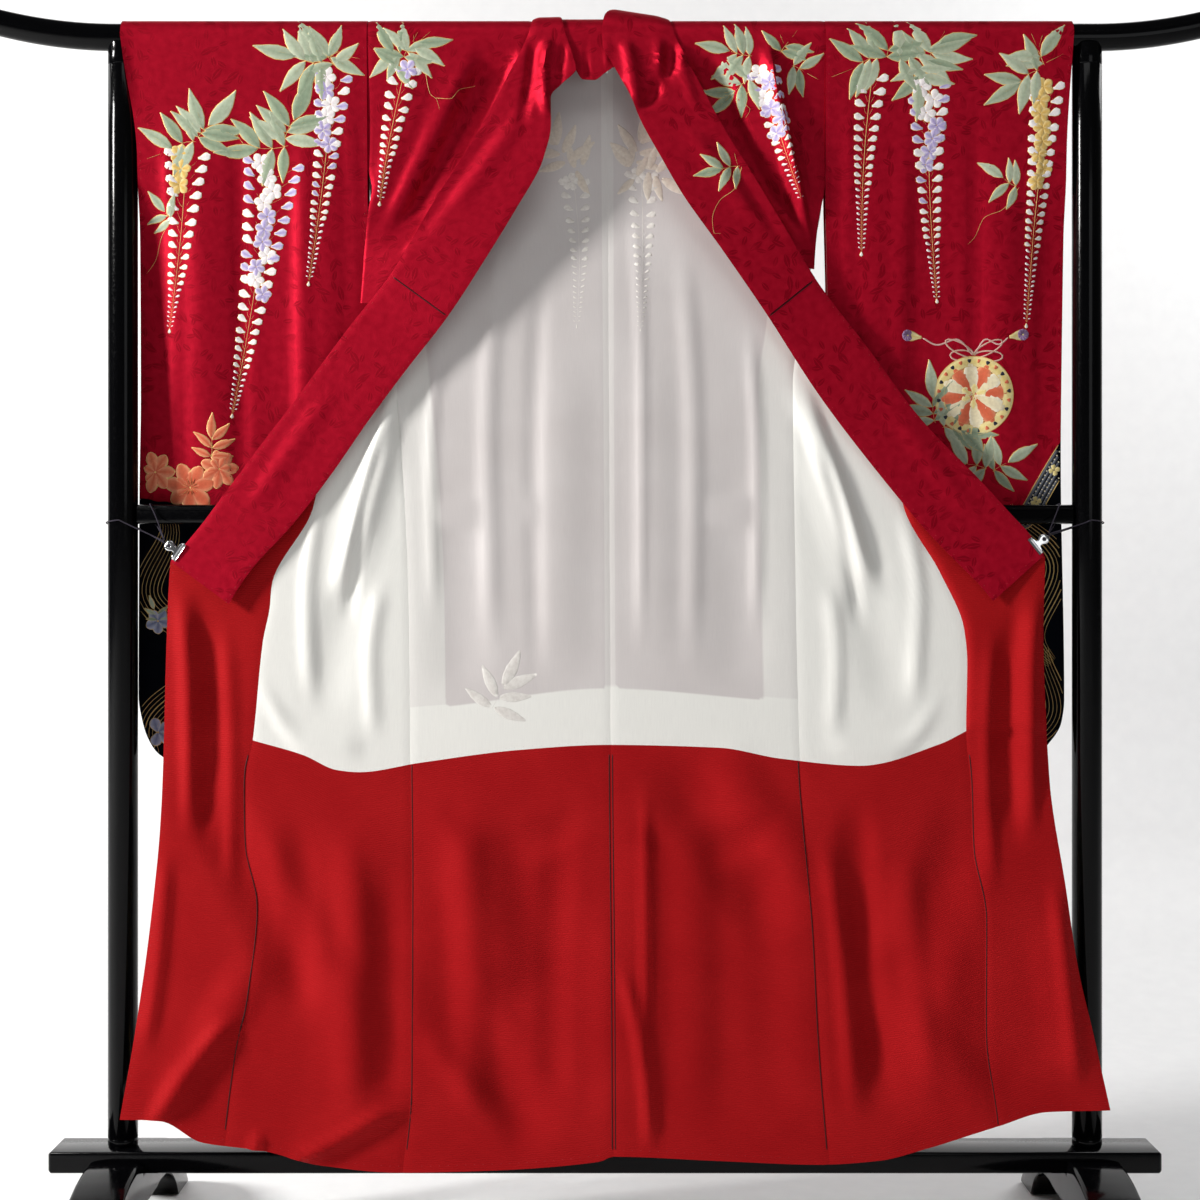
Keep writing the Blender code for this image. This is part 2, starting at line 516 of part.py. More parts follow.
def sleeve_depths(u, x, z):
    """Front and back depth of the sleeve, drawn together at its sewn edges."""
    front, back = sleeve_front_hang(z), sleeve_back_hang(z)
    middle = (front + back) / 2
    half = (back - front) / 2
    rise = fold_rise(SLEEVE_FOLDS, x, z)
    edge = smooth(u / 0.15) * smooth((1 - u) / 0.15)
    outer_close = (smooth((CUFF_BOTTOM - z) / CUFF_BLEND + 1 / 3)
                   * smooth((u - 1) / SLEEVE_EDGE_SHARE + 1))
    bottom_close = smooth((SLEEVE_LEVELS[-1] - z) / SLEEVE_ROUND + 1)
    close = max(outer_close, bottom_close)
    half = mix(half, SLEEVE_SEAM, close)
    near_rail = smooth((abs(z - MID_RAIL_HEIGHT) - MID_RAIL_CLEAR) / MID_RAIL_CLEAR)
    forward = max(0.0, rise) * near_rail * edge * (1 - close)
    backward = min(0.0, rise) * edge * (1 - close)
    room = POST_CLEAR ** 2 - (abs(x) - POST_X) ** 2
    round_post = math.sqrt(room) if room > 0.0 and z > CUFF_BOTTOM else 0.0
    near = min(middle - half - forward - 0.5 * backward * near_rail, -round_post or 1.0)
    return near, max(middle + half - backward, round_post or -1.0)


def make_sleeve(side):
    """A sleeve: one length folded over the rail, sewn along its outer and lower edges."""
    levels = SLEEVE_LEVELS
    inner_line, outer_line = line_at[side]["sleeve_in"], line_at[side]["sleeve_out"]
    bag = bmesh.new()
    low, high = SLEEVE_SKIN
    inset = SEAM_GAP / 2 * (1 if side == "right" else -1)

    def station(z, u):
        return mix(inner_line(z) + inset, outer_line(z), u)

    columns = range(SLEEVE_COLUMNS + 1)
    front, back = [], []
    for z in levels:
        front_row, back_row = [], []
        for j in columns:
            u = j / SLEEVE_COLUMNS
            x = station(z, u)
            near, far = sleeve_depths(u, x, z)
            front_row.append((Vector((x, near, z)), TO_VIEWER))
            back_row.append((Vector((x, far, z)), TO_REAR))
        front.append(front_row)
        back.append(back_row)
    over = []
    for k in range(1, WRAP_STEPS):
        degrees = 180 * k / WRAP_STEPS
        over.append([around_rail(station(RAIL_HEIGHT, j / SLEEVE_COLUMNS), degrees, BODY_RADIUS)
                     for j in columns])
    strip = list(reversed(front)) + over + back
    skins = [[[bag.verts.new(point + out * distance) for point, out in row] for row in strip]
             for distance in (high, low)]
    rows, last = len(strip) - 1, SLEEVE_COLUMNS
    for grid in skins:
        for i in range(rows):
            for j in range(last):
                bag.faces.new((grid[i][j], grid[i + 1][j], grid[i + 1][j + 1], grid[i][j + 1]))
    outer, inner = skins
    for i in range(rows):
        bag.faces.new((outer[i][0], outer[i + 1][0], inner[i + 1][0], inner[i][0]))
    cuff_row = max(i for i, z in enumerate(levels) if z > CUFF_BOTTOM)
    closed = len(levels) - 1 - cuff_row
    for i in range(closed, rows - closed):
        bag.faces.new((outer[i][last], outer[i + 1][last], inner[i + 1][last], inner[i][last]))
    for i in range(closed):
        for grid in skins:
            bag.faces.new((grid[i][last], grid[i + 1][last], grid[rows - i - 1][last],
                           grid[rows - i][last]))
    bag.faces.new((outer[closed][last], inner[closed][last], inner[rows - closed][last],
                   outer[rows - closed][last]))
    for grid in skins:
        for j in range(last):
            bag.faces.new((grid[0][j], grid[0][j + 1], grid[rows][j + 1], grid[rows][j]))
    bag.faces.new((outer[0][0], inner[0][0], inner[rows][0], outer[rows][0]))
    for j in columns:
        inner[0][j].co.z -= low
        inner[rows][j].co.z -= low
    for i in list(range(closed + 1)) + list(range(rows - closed, rows + 1)):
        inner[i][last].co.x += low if side == "right" else -low
    finish("sleeve_" + side, bag, "crimson satin")


def collar_grid(side):
    """Collar band: over the rail from the rear, then down to its end."""
    rows = []
    wrap = COLLAR_WRAP[side]
    near, far, rise = [curve_through([(row[0], row[k]) for row in wrap]) for k in (1, 2, 3)]
    shares = [j / COLLAR_COLUMNS for j in range(COLLAR_COLUMNS + 1)]
    rows.append([(Vector((mix(near(180), far(180), u), BAND_RADIUS + rise(180) * u,
                          COLLAR_REAR_END)), TO_REAR) for u in shares])
    for k in range(WRAP_STEPS + 1):
        degrees = 180 - 180 * k / WRAP_STEPS
        rows.append([around_rail(mix(near(degrees), far(degrees), u), degrees,
                                 BAND_RADIUS + rise(degrees) * u) for u in shares])
    for seam_x, seam_z, free_x, free_z in COLLAR_ROWS[side]:
        row = []
        lift = COLLAR_LIFT * smooth((RAIL_HEIGHT - seam_z) / 0.2) + COLLAR_SLOPE
        for u in shares:
            y = collar_hang(seam_z) - lift * u
            row.append((Vector((mix(seam_x, free_x, u), y, mix(seam_z, free_z, u))), TO_VIEWER))
        rows.append(row)
    return rows


def make_collar(side):
    rows = collar_grid(side)
    over = len(rows) - len(COLLAR_ROWS[side]) + OVERLAY_LAST_ROW + 1
    wall("collar_" + side, rows, COLLAR_SKIN, "crimson satin")
    wall("overlay_" + side, rows[:over], OVERLAY_SKIN, "crimson satin")


def make_back_collar():
    """Back-neck run of the collar, folded forward over the rail."""
    stations = [mix(NECK_DROP[0][0], NECK_DROP[-1][0], j / BACK_COLLAR_COLUMNS)
                for j in range(BACK_COLLAR_COLUMNS + 1)]
    rows = [[(Vector((x, NECK_RADIUS, COLLAR_REAR_END)), TO_REAR) for x in stations]]
    for k in range(WRAP_STEPS + 1):
        rows.append([around_rail(x, 180 - 180 * k / WRAP_STEPS, NECK_RADIUS) for x in stations])
    for share in (0.5, 1.0):
        rows.append([(Vector((x, -NECK_RADIUS, mix(RAIL_HEIGHT, neck_drop(x), share))), TO_VIEWER)
                     for x in stations])
    wall("collar_back", rows, BACK_COLLAR_SKIN, "crimson satin")


def ring_loft(name, rings, material_name, flat_angle=35):
    """A closed body through rings of points, with a face at each end."""
    body = bmesh.new()
    loops = [[body.verts.new(point) for point in ring] for ring in rings]
    count = len(loops[0])
    for a, b in zip(loops, loops[1:]):
        for i in range(count):
            body.faces.new((a[i], a[(i + 1) % count], b[(i + 1) % count], b[i]))
    body.faces.new(loops[0])
    body.faces.new(loops[-1])
    return finish(name, body, material_name, flat_angle)


def rail_height(x):
    over = max(0.0, abs(x) - RAIL_STRAIGHT)
    return RAIL_HEIGHT + RAIL_RISE * over * over


def make_top_rail():
    """Round top rail with upturned, rounded ends."""
    stations = [(inward - RAIL_HALF_LENGTH, share) for inward, share in RAIL_END]
    stations += [(0.0, 1.0)]
    stations += [(-x, share) for x, share in reversed(stations[:-1])]
    rings = []
    for x, share in stations:
        ring = []
        for i in range(RAIL_SIDES):
            turn = math.tau * (i + 0.5) / RAIL_SIDES
            radius = RAIL_RADIUS * share
            ring.append((x, radius * math.cos(turn), rail_height(x) + radius * math.sin(turn)))
        rings.append(ring)
    ring_loft("top_rail", rings, "black lacquer")


def make_post(side, x):
    """Round upright whose top is hollowed to carry the rail."""
    post = bmesh.new()
    saddle = RAIL_RADIUS + SEAM_GAP
    bottom, top = [], []
    for i in range(POST_SIDES):
        turn = math.tau * (i + 0.5) / POST_SIDES
        across, depth = POST_RADIUS * math.cos(turn), POST_RADIUS * math.sin(turn)
        hollow = math.sqrt(max(POST_HORN_DROP ** 2, saddle ** 2 - depth ** 2)) + POST_TOP_GAP
        bottom.append(post.verts.new((x + across, depth, BAR_TOP + SEAM_GAP)))
        top.append(post.verts.new((x + across, depth, RAIL_HEIGHT - hollow)))
    for i in range(POST_SIDES):
        j = (i + 1) % POST_SIDES
        post.faces.new((bottom[i], bottom[j], top[j], top[i]))
    post.faces.new(bottom)
    quarter = POST_SIDES // 4
    for k in range(-quarter, quarter - 1):
        a, b = k % POST_SIDES, (k + 1) % POST_SIDES
        c, d = (POST_SIDES // 2 - 2 - k) % POST_SIDES, (POST_SIDES // 2 - 1 - k) % POST_SIDES
        post.faces.new((top[a], top[b], top[c], top[d]))
    finish("upright_" + side, post, "black lacquer")


def make_mid_rail():
    """Flat middle rail with a bead along its upper edge."""
    profile = [(depth * MID_RAIL_HALF_DEPTH, rise * MID_RAIL_HALF_HEIGHT)
               for depth, rise in MID_RAIL_PROFILE]
    profile += [(-y, rise) for y, rise in reversed(profile)]
    rings = [[(x, y, MID_RAIL_HEIGHT + rise) for y, rise in profile]
             for x in (-MID_RAIL_HALF_LENGTH, MID_RAIL_HALF_LENGTH)]
    ring_loft("mid_rail", rings, "black lacquer")


def make_base_bar():
    """Long base bar with eased edges and slightly bowed ends."""
    middle, half = (BAR_TOP + BAR_BOTTOM) / 2, (BAR_TOP - BAR_BOTTOM) / 2
    rings = []
    for x, draw in ((-BAR_HALF_LENGTH, BAR_EDGE), (-BAR_HALF_LENGTH + BAR_EDGE, 0.0),
                    (BAR_HALF_LENGTH - BAR_EDGE, 0.0), (BAR_HALF_LENGTH, BAR_EDGE)):
        d, h = BAR_HALF_DEPTH - draw, half - draw
        corners = ((-d + BAR_EDGE, -h), (d - BAR_EDGE, -h), (d, -h + BAR_EDGE), (d, h - BAR_EDGE),
                   (d - BAR_EDGE, h), (-d + BAR_EDGE, h), (-d, h - BAR_EDGE), (-d, -h + BAR_EDGE))
        rings.append([(x, y, middle + z) for y, z in corners])
    ring_loft("base_bar", rings, "black lacquer", 50)


def make_foot(side, x):
    """Arched foot, notched for the base bar, with rounded upper edges."""
    stations = [(-y, top, low) for y, top, low in reversed(FOOT_STATIONS)] + list(FOOT_STATIONS[1:])
    rings = []
    w = FOOT_HALF_WIDTH
    for y, top, low in stations:
        edge = min(FOOT_EDGE, (top - low) * 0.4)
        ring = ((-w, low), (w, low), (w, top - edge), (w - edge * 0.3, top - edge * 0.3), (w - edge, top),
                (-w + edge, top), (-w + edge * 0.3, top - edge * 0.3), (-w, top - edge))
        rings.append([(x + across, y, z) for across, z in ring])
    ring_loft("foot_" + side, rings, "black lacquer", 30)


def make_clip(side):
    """Bulldog clip: a strip folded round, with wide jaws and a round handle."""
    spec = CLIPS[side]
    out = Vector((spec["out"][0], 0, spec["out"][1])).normalized()
    along = Vector((-out.z, 0, out.x))
    grip = Vector((spec["grip"][0], 0, spec["grip"][1]))
    path = list(CLIP_ROWS) + [CLIP_TURN] + [(a, w, 1 - share) for a, w, share in reversed(CLIP_ROWS)]
    rows = []
    for distance, width, share in path:
        y = mix(CLIP_CLOTH_FRONT, CLIP_CLOTH_REAR, share)
        lean = (share - 0.5) * 2
        way = Vector((0, lean, 0)) + out * (1 - abs(lean))
        way.normalize()
        centre = grip + out * distance + Vector((0, y, 0))
        rows.append([(centre + along * (width * k), way) for k in (-1.0, -0.5, 0.0, 0.5, 1.0)])
    wall("clip_" + side, rows, CLIP_SKIN, "chromed steel")
    return grip + out * (CLIP_TURN[0] + CLIP_SKIN[1]), out


def make_cord(name, points):
    """A thin elastic cord along its route."""
    curve = bpy.data.curves.new(name, "CURVE")
    curve.dimensions = "3D"
    curve.bevel_depth = CORD_RADIUS
    curve.bevel_resolution = 2
    curve.use_fill_caps = True
    spline = curve.splines.new("POLY")
    spline.points.add(len(points) - 1)
    for target, point in zip(spline.points, points):
        target.co = (*point, 1.0)
    curve.materials.append(material("black elastic"))
    item = bpy.data.objects.new(name, curve)
    bpy.context.scene.collection.objects.link(item)


def make_ties(side, clip_end, out):
    """Two elastic loops hold a clip: one round the upright and one round the middle rail."""
    sign = -1 if side == "left" else 1
    clear = CORD_RADIUS + CORD_CLEARANCE
    middle = (CLIP_CLOTH_FRONT + CLIP_CLOTH_REAR) / 2
    end = clip_end + out * (CORD_RADIUS + SEAM_GAP) + Vector((0, middle, 0))
    radius = (POST_RADIUS + clear) / math.cos(math.radians(TIE_STEP / 2))
    start = Vector((sign * (POST_X - radius * 0.30), -radius * 0.985, TIE_POST_TOP - 0.0040))
    post_front = end + Vector(TIE_ENDS["post front"])
    route = [post_front, mix(post_front, start, 0.5), start]
    for degrees in range(-90, 151, TIE_STEP):
        turn = math.radians(degrees)
        route.append(Vector((sign * (POST_X + radius * math.cos(turn)), radius * math.sin(turn),
                             mix(TIE_POST_TOP, TIE_POST_LOW, (degrees + 90) / 240))))
    make_cord("tie_post_" + side, route + [end + Vector(TIE_ENDS["post rear"])])
    top = MID_RAIL_HEIGHT + MID_RAIL_HALF_HEIGHT + clear
    low = MID_RAIL_HEIGHT - MID_RAIL_HALF_HEIGHT - clear
    depth = MID_RAIL_HALF_DEPTH + clear
    rail_front = end + Vector(TIE_ENDS["rail front"])
    slack = Vector((mix(rail_front.x, sign * TIE_RAIL_X, 0.6), -depth - 0.004, low + 0.010))
    under = Vector((mix(rail_front.x, sign * TIE_RAIL_X, 0.5), -depth, low - 0.004))
    loop = [Vector((sign * (TIE_RAIL_X + lean), depth * share, mix(low, top, rise)))
            for lean, share, rise in TIE_RAIL_LOOP]
    route = [rail_front, slack] + loop + [under, end + Vector(TIE_ENDS["rail rear"])]
    make_cord("tie_rail_" + side, route)


def make_all():
    clear_scene()
    make_top_rail()
    make_mid_rail()
    make_base_bar()
    for side, x in (("left", -POST_X), ("right", POST_X)):
        make_post(side, x)
        make_foot(side, x)
    for side in ("left", "right"):
        make_back(side)
        make_front(side)
        make_okumi(side)
        make_sleeve(side)
        make_collar(side)
        clip_end, out = make_clip(side)
        make_ties(side, clip_end, out)
    make_back_collar()


make_all()
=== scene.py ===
# A lined furisode kimono hung open on a black lacquered stand: the dressed model.
# Metres, +Z up, the viewer at -Y. Cloth lies on the same surfaces as the solids,
# with finer rows, creases, linings, sewing and dyed and stitched flowers.
import math
import random

import bmesh
import bpy
import numpy as np
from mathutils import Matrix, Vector
from mathutils.bvhtree import BVHTree


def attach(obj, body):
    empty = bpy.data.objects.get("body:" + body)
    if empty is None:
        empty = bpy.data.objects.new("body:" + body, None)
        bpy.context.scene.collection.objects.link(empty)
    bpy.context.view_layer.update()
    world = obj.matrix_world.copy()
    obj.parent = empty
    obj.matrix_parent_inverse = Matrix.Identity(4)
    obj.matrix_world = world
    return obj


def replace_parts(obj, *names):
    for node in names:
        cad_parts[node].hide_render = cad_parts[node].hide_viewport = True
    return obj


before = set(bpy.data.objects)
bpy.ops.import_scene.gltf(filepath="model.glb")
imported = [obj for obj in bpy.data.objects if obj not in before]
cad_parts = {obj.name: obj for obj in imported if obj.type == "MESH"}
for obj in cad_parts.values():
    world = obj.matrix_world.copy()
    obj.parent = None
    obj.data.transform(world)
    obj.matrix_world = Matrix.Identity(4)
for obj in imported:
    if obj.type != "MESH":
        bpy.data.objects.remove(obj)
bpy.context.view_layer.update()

CAMERA_PLACE = (-0.007, -2.95, 0.90)
CAMERA_LENS = 62.54
SENSOR = 36.0

# Sewing and layers
SEAM_GAP = 0.0003
OUTER_SKIN = (0.00015, 0.00135)
LINING_SKIN = (-0.00115, -0.00015)
SLEEVE_SKIN = (-0.00115, 0.00135)
COLLAR_SKIN = (0.0, 0.0010)
OVERLAY_SKIN = (0.0013, 0.0023)
BACK_COLLAR_SKIN = (0.0, 0.0020)

# Stand
RAIL_HEIGHT = 1.696
RAIL_RADIUS = 0.019
RAIL_HALF_LENGTH = 0.930
RAIL_STRAIGHT = 0.690
RAIL_RISE = 0.744
# Rounded end of the rail as (distance from the tip, share of the radius), and its stations round the bend
RAIL_END = ((0.0, 0.30), (0.0006, 0.55), (0.0022, 0.76), (0.005, 0.90), (0.009, 0.975), (0.014, 1.0))
RAIL_BEND = (0.03, 0.24, 16)
ROUND = np.linspace(0, math.tau, 49)[:-1]
BEVEL_FROM = math.radians(40)
BEVEL_SHARP = math.radians(50)
POST_X = 0.682
POST_RADIUS = 0.021
POST_CLEAR = 0.0235
POST_HORN_DROP = 0.0097
POST_TOP_GAP = 0.0006
# Profile of a post as (height over the bar, share of the radius), then the same below its top
POST_FOOT = ((SEAM_GAP, 0.96), (0.0015, 1.0), (0.010, 1.0), (0.0112, 0.97), (0.0124, 1.0), (1.431, 1.0))
POST_CAP = ((0.022, 1.0), (0.0205, 0.965), (0.019, 1.0), (0.002, 1.0), (0.0006, 0.985))
MID_RAIL_HEIGHT = 1.021
MID_RAIL_HALF_DEPTH = 0.0125
MID_RAIL_HALF_HEIGHT = 0.0135
MID_RAIL_HALF_LENGTH = 0.6605
MID_RAIL_CLEAR = 0.038
# Front half of the middle rail with its bead, as shares of (half depth, half height)
MID_RAIL_PROFILE = ((-0.60, -1.00), (-0.92, -0.89), (-1.00, -0.67), (-1.00, 0.37), (-0.86, 0.48),
                    (-0.86, 0.56), (-1.00, 0.67), (-0.92, 0.91), (-0.60, 1.00))
BAR_HALF_LENGTH = 0.778
BAR_HALF_DEPTH = 0.040
BAR_BOTTOM = 0.099
BAR_TOP = 0.129
BAR_EDGE = 0.004
# Rounding of the bar's ends, as shares of its edge (along, drawn in)
BAR_CORNER = ((0.0, 1.0), (0.3, 0.3), (1.0, 0.0))
FOOT_HALF_WIDTH = 0.0375
FOOT_EDGE = 0.006
# Half of a foot from its middle out, as (distance, top, underside)
FOOT_STATIONS = ((0.0, BAR_BOTTOM - SEAM_GAP, 0.052), (BAR_HALF_DEPTH + 0.0003, BAR_BOTTOM - SEAM_GAP, 0.054),
                 (BAR_HALF_DEPTH + 0.0009, 0.1160, 0.054), (0.075, 0.1145, 0.058), (0.115, 0.1090, 0.056),
                 (0.150, 0.1000, 0.046), (0.178, 0.0890, 0.030), (0.196, 0.0800, 0.012),
                 (0.206, 0.0740, 0.0), (0.235, 0.0520, 0.0), (0.260, 0.0260, 0.0), (0.272, 0.0130, 0.0),
                 (0.275, 0.0080, 0.0))

# Heights that the cloth is worked out from
WRAP_STEPS = 6
BODY_RADIUS = (RAIL_RADIUS + SEAM_GAP) / math.cos(math.pi / WRAP_STEPS / 2) - LINING_SKIN[0]
NECK_RADIUS = BODY_RADIUS + OUTER_SKIN[1] + SEAM_GAP
BAND_RADIUS = NECK_RADIUS + BACK_COLLAR_SKIN[1] + SEAM_GAP
LIFT_START = 0.850
BOUNDARY_LEVEL = 0.685
HEM_LEVEL = 0.115
NECK_CUT = 1.655
FRONT_TOP = 1.380
CUFF_BOTTOM = 1.470
SLEEVE_SEAM = 0.0030
SLEEVE_ROUND = 0.060
SLEEVE_EDGE_SHARE = 0.28
CUFF_BLEND = 0.090
COLLAR_LIFT = 0.006
COLLAR_SLOPE = 0.003
COLLAR_REAR_END = 1.655
NECK_CUT_TOP = 1.700

# Rows
UPPER_TOP = 1.695
SLEEVE_BOTTOM = 0.656
SLEEVE_CURVE_TOP = 0.730
SLEEVE_CURVE_STEP = 0.004
FRONT_FIRST_LEVEL = {"left": 1.370, "right": 1.310}
OKUMI_FIRST_LEVEL = {"left": 1.250, "right": 1.190}
SHOULDER_TIP = {"left": 1.318, "right": 1.366}

ROW_STEP = 0.0092
COLLAR_STEP = 0.085
BACK_COLUMNS = 40
FRONT_COLUMNS = 32
OKUMI_COLUMNS = 20
SLEEVE_COLUMNS = 44
COLLAR_COLUMNS = 18
WRAP_ANGLES = np.linspace(180, 0, 19)
LINING_WRAP_ROWS = 12
SHOULDER_UNDER = 0.028
SHOULDER_BEHIND = 0.0016

# Hang of each layer, as (height, depth)
BACK_HANG = ((1.696, BODY_RADIUS), (1.491, 0.0185), (1.370, 0.0030), (1.310, -0.0010),
             (1.150, -0.0110), (1.040, -0.0182), (0.980, -0.0200), (0.600, -0.0360), (0.100, -0.0600))
RIM_HANG = ((1.400, -0.0112), (1.370, -0.0118), (1.310, -0.0125), (1.250, -0.0149), (1.200, -0.0155),
            (1.020, -0.0244), (0.960, -0.0280), (0.600, -0.0450), (0.100, -0.0750))
SHOULDER_SEAM_HANG = ((1.696, -BODY_RADIUS), (1.600, -0.0245), (1.450, -0.0258), (1.360, -0.0190),
                      (1.310, -0.0150))
SHOULDER_FOLD_HANG = ((1.696, -BODY_RADIUS), (1.491, -0.0105), (1.440, -0.0112), (1.310, -0.0140))
COLLAR_HANG = ((1.696, -BAND_RADIUS), (1.600, -0.0268), (1.450, -0.0280), (1.360, -0.0212),
               (1.310, -0.0171), (1.250, -0.0166), (1.200, -0.0173), (1.020, -0.0261),
               (0.960, -0.0297), (0.890, -0.0335))
SLEEVE_FRONT_HANG = ((1.696, -BODY_RADIUS), (1.491, -0.0105), (1.310, 0.0020), (1.040, 0.0176),
                     (0.980, 0.0185), (0.650, 0.0190))
SLEEVE_BACK_HANG = ((1.696, BODY_RADIUS), (1.491, 0.0185), (1.310, 0.0235), (1.040, 0.0300),
                    (0.650, 0.0310))

# Lines of the cut as hung, as (height, x) for each side
LINES = {
    "left": {
        "centre": ((1.720, 0.0028), (1.182, 0.0056), (0.648, 0.0084), (0.376, 0.0111), (0.100, 0.0125)),
        "side": ((1.720, -0.3346), (1.491, -0.3346), (1.397, -0.3222), (1.268, -0.3011), (1.140, -0.2890),
                 (0.908, -0.2766), (0.672, -0.2728), (0.482, -0.2706), (0.222, -0.2708), (0.100, -0.2814)),
        "shoulder_fold": ((1.720, -0.3346), (1.512, -0.3346), (1.480, -0.3285), (1.448, -0.3340),
                          (1.309, -0.3453)),
        "front_seam": ((1.370, -0.3345), (1.309, -0.3453), (1.286, -0.3588), (1.181, -0.3870),
                       (1.032, -0.4098), (0.921, -0.4678), (0.890, -0.4704), (0.841, -0.4798),
                       (0.705, -0.4927), (0.649, -0.5020), (0.563, -0.5012), (0.469, -0.4836),
                       (0.343, -0.4948), (0.280, -0.5094), (0.149, -0.5259), (0.100, -0.5310)),
        "rim": ((1.370, -0.3345), (1.309, -0.3453), (1.286, -0.3588), (1.210, -0.4150), (1.135, -0.4708),
                (1.066, -0.5221), (0.998, -0.5719), (0.956, -0.6096), (0.845, -0.6141), (0.649, -0.6178),
                (0.574, -0.6211), (0.442, -0.6333), (0.298, -0.6522), (0.182, -0.6713)),
        "collar_seam": ((1.720, -0.0996), (1.665, -0.1207), (1.608, -0.1500), (1.520, -0.2005),
                        (1.408, -0.2694), (1.358, -0.3007), (1.286, -0.3588)),
        "sleeve_in": ((1.720, -0.3346), (1.491, -0.3346), (0.650, -0.3320)),
        "sleeve_out": ((1.720, -0.6843), (1.667, -0.6772), (1.525, -0.6590), (1.430, -0.6585),
                       (1.184, -0.6600), (1.050, -0.6630), (0.764, -0.6645), (0.721, -0.6574),
                       (0.687, -0.6417), (0.665, -0.6100), (0.653, -0.5680)),
    },
    "right": {
        "centre": ((1.720, 0.0028), (1.182, 0.0056), (0.648, 0.0084), (0.376, 0.0111), (0.100, 0.0125)),
        "side": ((1.720, 0.3105), (1.491, 0.3105), (1.397, 0.2966), (1.282, 0.2758), (1.204, 0.2654),
                 (0.908, 0.2682), (0.676, 0.2729), (0.579, 0.2794), (0.447, 0.2914), (0.288, 0.2990),
                 (0.100, 0.3130)),
        "shoulder_fold": ((1.720, 0.3105), (1.491, 0.3105), (1.436, 0.3016), (1.393, 0.2965),
                          (1.360, 0.2945)),
        "front_seam": ((1.353, 0.2951), (1.255, 0.3700), (1.153, 0.3980), (1.028, 0.4210), (0.938, 0.4708),
                       (0.859, 0.5037), (0.815, 0.5076), (0.717, 0.5054), (0.649, 0.5104), (0.552, 0.5137),
                       (0.457, 0.5293), (0.298, 0.5275), (0.171, 0.5427), (0.100, 0.5480)),
        "rim": ((1.353, 0.2951), (1.255, 0.3700), (1.153, 0.4456), (1.068, 0.5264), (1.019, 0.5708),
                (0.963, 0.6167), (0.845, 0.6128), (0.649, 0.6206), (0.494, 0.6423), (0.398, 0.6549),
                (0.291, 0.6784), (0.194, 0.6991)),
        "collar_seam": ((1.720, 0.0870), (1.660, 0.1136), (1.587, 0.1528), (1.503, 0.2033),
                        (1.353, 0.2951), (1.255, 0.3700)),
        "sleeve_in": ((1.720, 0.3105), (1.491, 0.3105), (1.300, 0.3145), (0.650, 0.3145)),
        "sleeve_out": ((1.720, 0.6602), (1.525, 0.6503), (1.141, 0.6488), (0.757, 0.6545),
                       (0.725, 0.6503), (0.693, 0.6303), (0.665, 0.5980), (0.656, 0.5679)),
    },
}

# Hem and the seam of white and red lining, as (x, height)
HEM_LINE = ((-0.672, 0.181), (-0.618, 0.180), (-0.558, 0.149), (-0.474, 0.137), (-0.393, 0.116),
            (-0.281, 0.105), (-0.156, 0.108), (-0.008, 0.120), (0.011, 0.127), (0.160, 0.121),
            (0.297, 0.116), (0.379, 0.122), (0.442, 0.138), (0.542, 0.170), (0.612, 0.191),
            (0.700, 0.194))
BOUNDARY_LINE = ((-0.494, 0.704), (-0.422, 0.683), (-0.375, 0.662), (-0.344, 0.659), (-0.259, 0.672),
                 (-0.119, 0.690), (0.003, 0.697), (0.161, 0.693), (0.245, 0.678), (0.357, 0.668),
                 (0.470, 0.699), (0.506, 0.717))

# Collar bands below the rail, as (seam x, seam height, free x, free height)
COLLAR_ROWS = {
    "left": ((-0.1207, 1.6646, -0.0450, 1.6620), (-0.1333, 1.6406, -0.0407, 1.6430),
             (-0.1500, 1.6081, -0.0757, 1.6039), (-0.1752, 1.5617, -0.0757, 1.5640),
             (-0.2005, 1.5196, -0.0869, 1.5150), (-0.2369, 1.4635, -0.1270, 1.4420),
             (-0.2694, 1.4080, -0.1680, 1.3760), (-0.3007, 1.3581, -0.2195, 1.2982),
             (-0.3588, 1.2855, -0.2771, 1.2250), (-0.4150, 1.2095, -0.3317, 1.1516),
             (-0.4708, 1.1347, -0.3860, 1.0727), (-0.5221, 1.0656, -0.4402, 1.0023),
             (-0.5719, 0.9981, -0.4902, 0.9476), (-0.5954, 0.9700, -0.5140, 0.9140),
             (-0.6085, 0.9546, -0.5252, 0.8944)),
    "right": ((0.1024, 1.6830, -0.0020, 1.6740), (0.1136, 1.6604, 0.0112, 1.6500),
              (0.1318, 1.6265, 0.0337, 1.6095), (0.1528, 1.5870, 0.0505, 1.5700),
              (0.1766, 1.5449, 0.0780, 1.5200), (0.2033, 1.5028, 0.1080, 1.4680),
              (0.2480, 1.4290, 0.1650, 1.3880), (0.2951, 1.3525, 0.2279, 1.2982),
              (0.3700, 1.2545, 0.2996, 1.1883), (0.4456, 1.1530, 0.3749, 1.0882),
              (0.5264, 1.0684, 0.4527, 0.9939), (0.5708, 1.0192, 0.4972, 0.9476),
              (0.5929, 0.9953, 0.5210, 0.9238), (0.6155, 0.9630, 0.5420, 0.8986)),
}
OVERLAY_LAST_ROW = 7
OVERLAY_SEAM_DROP = 0.0022

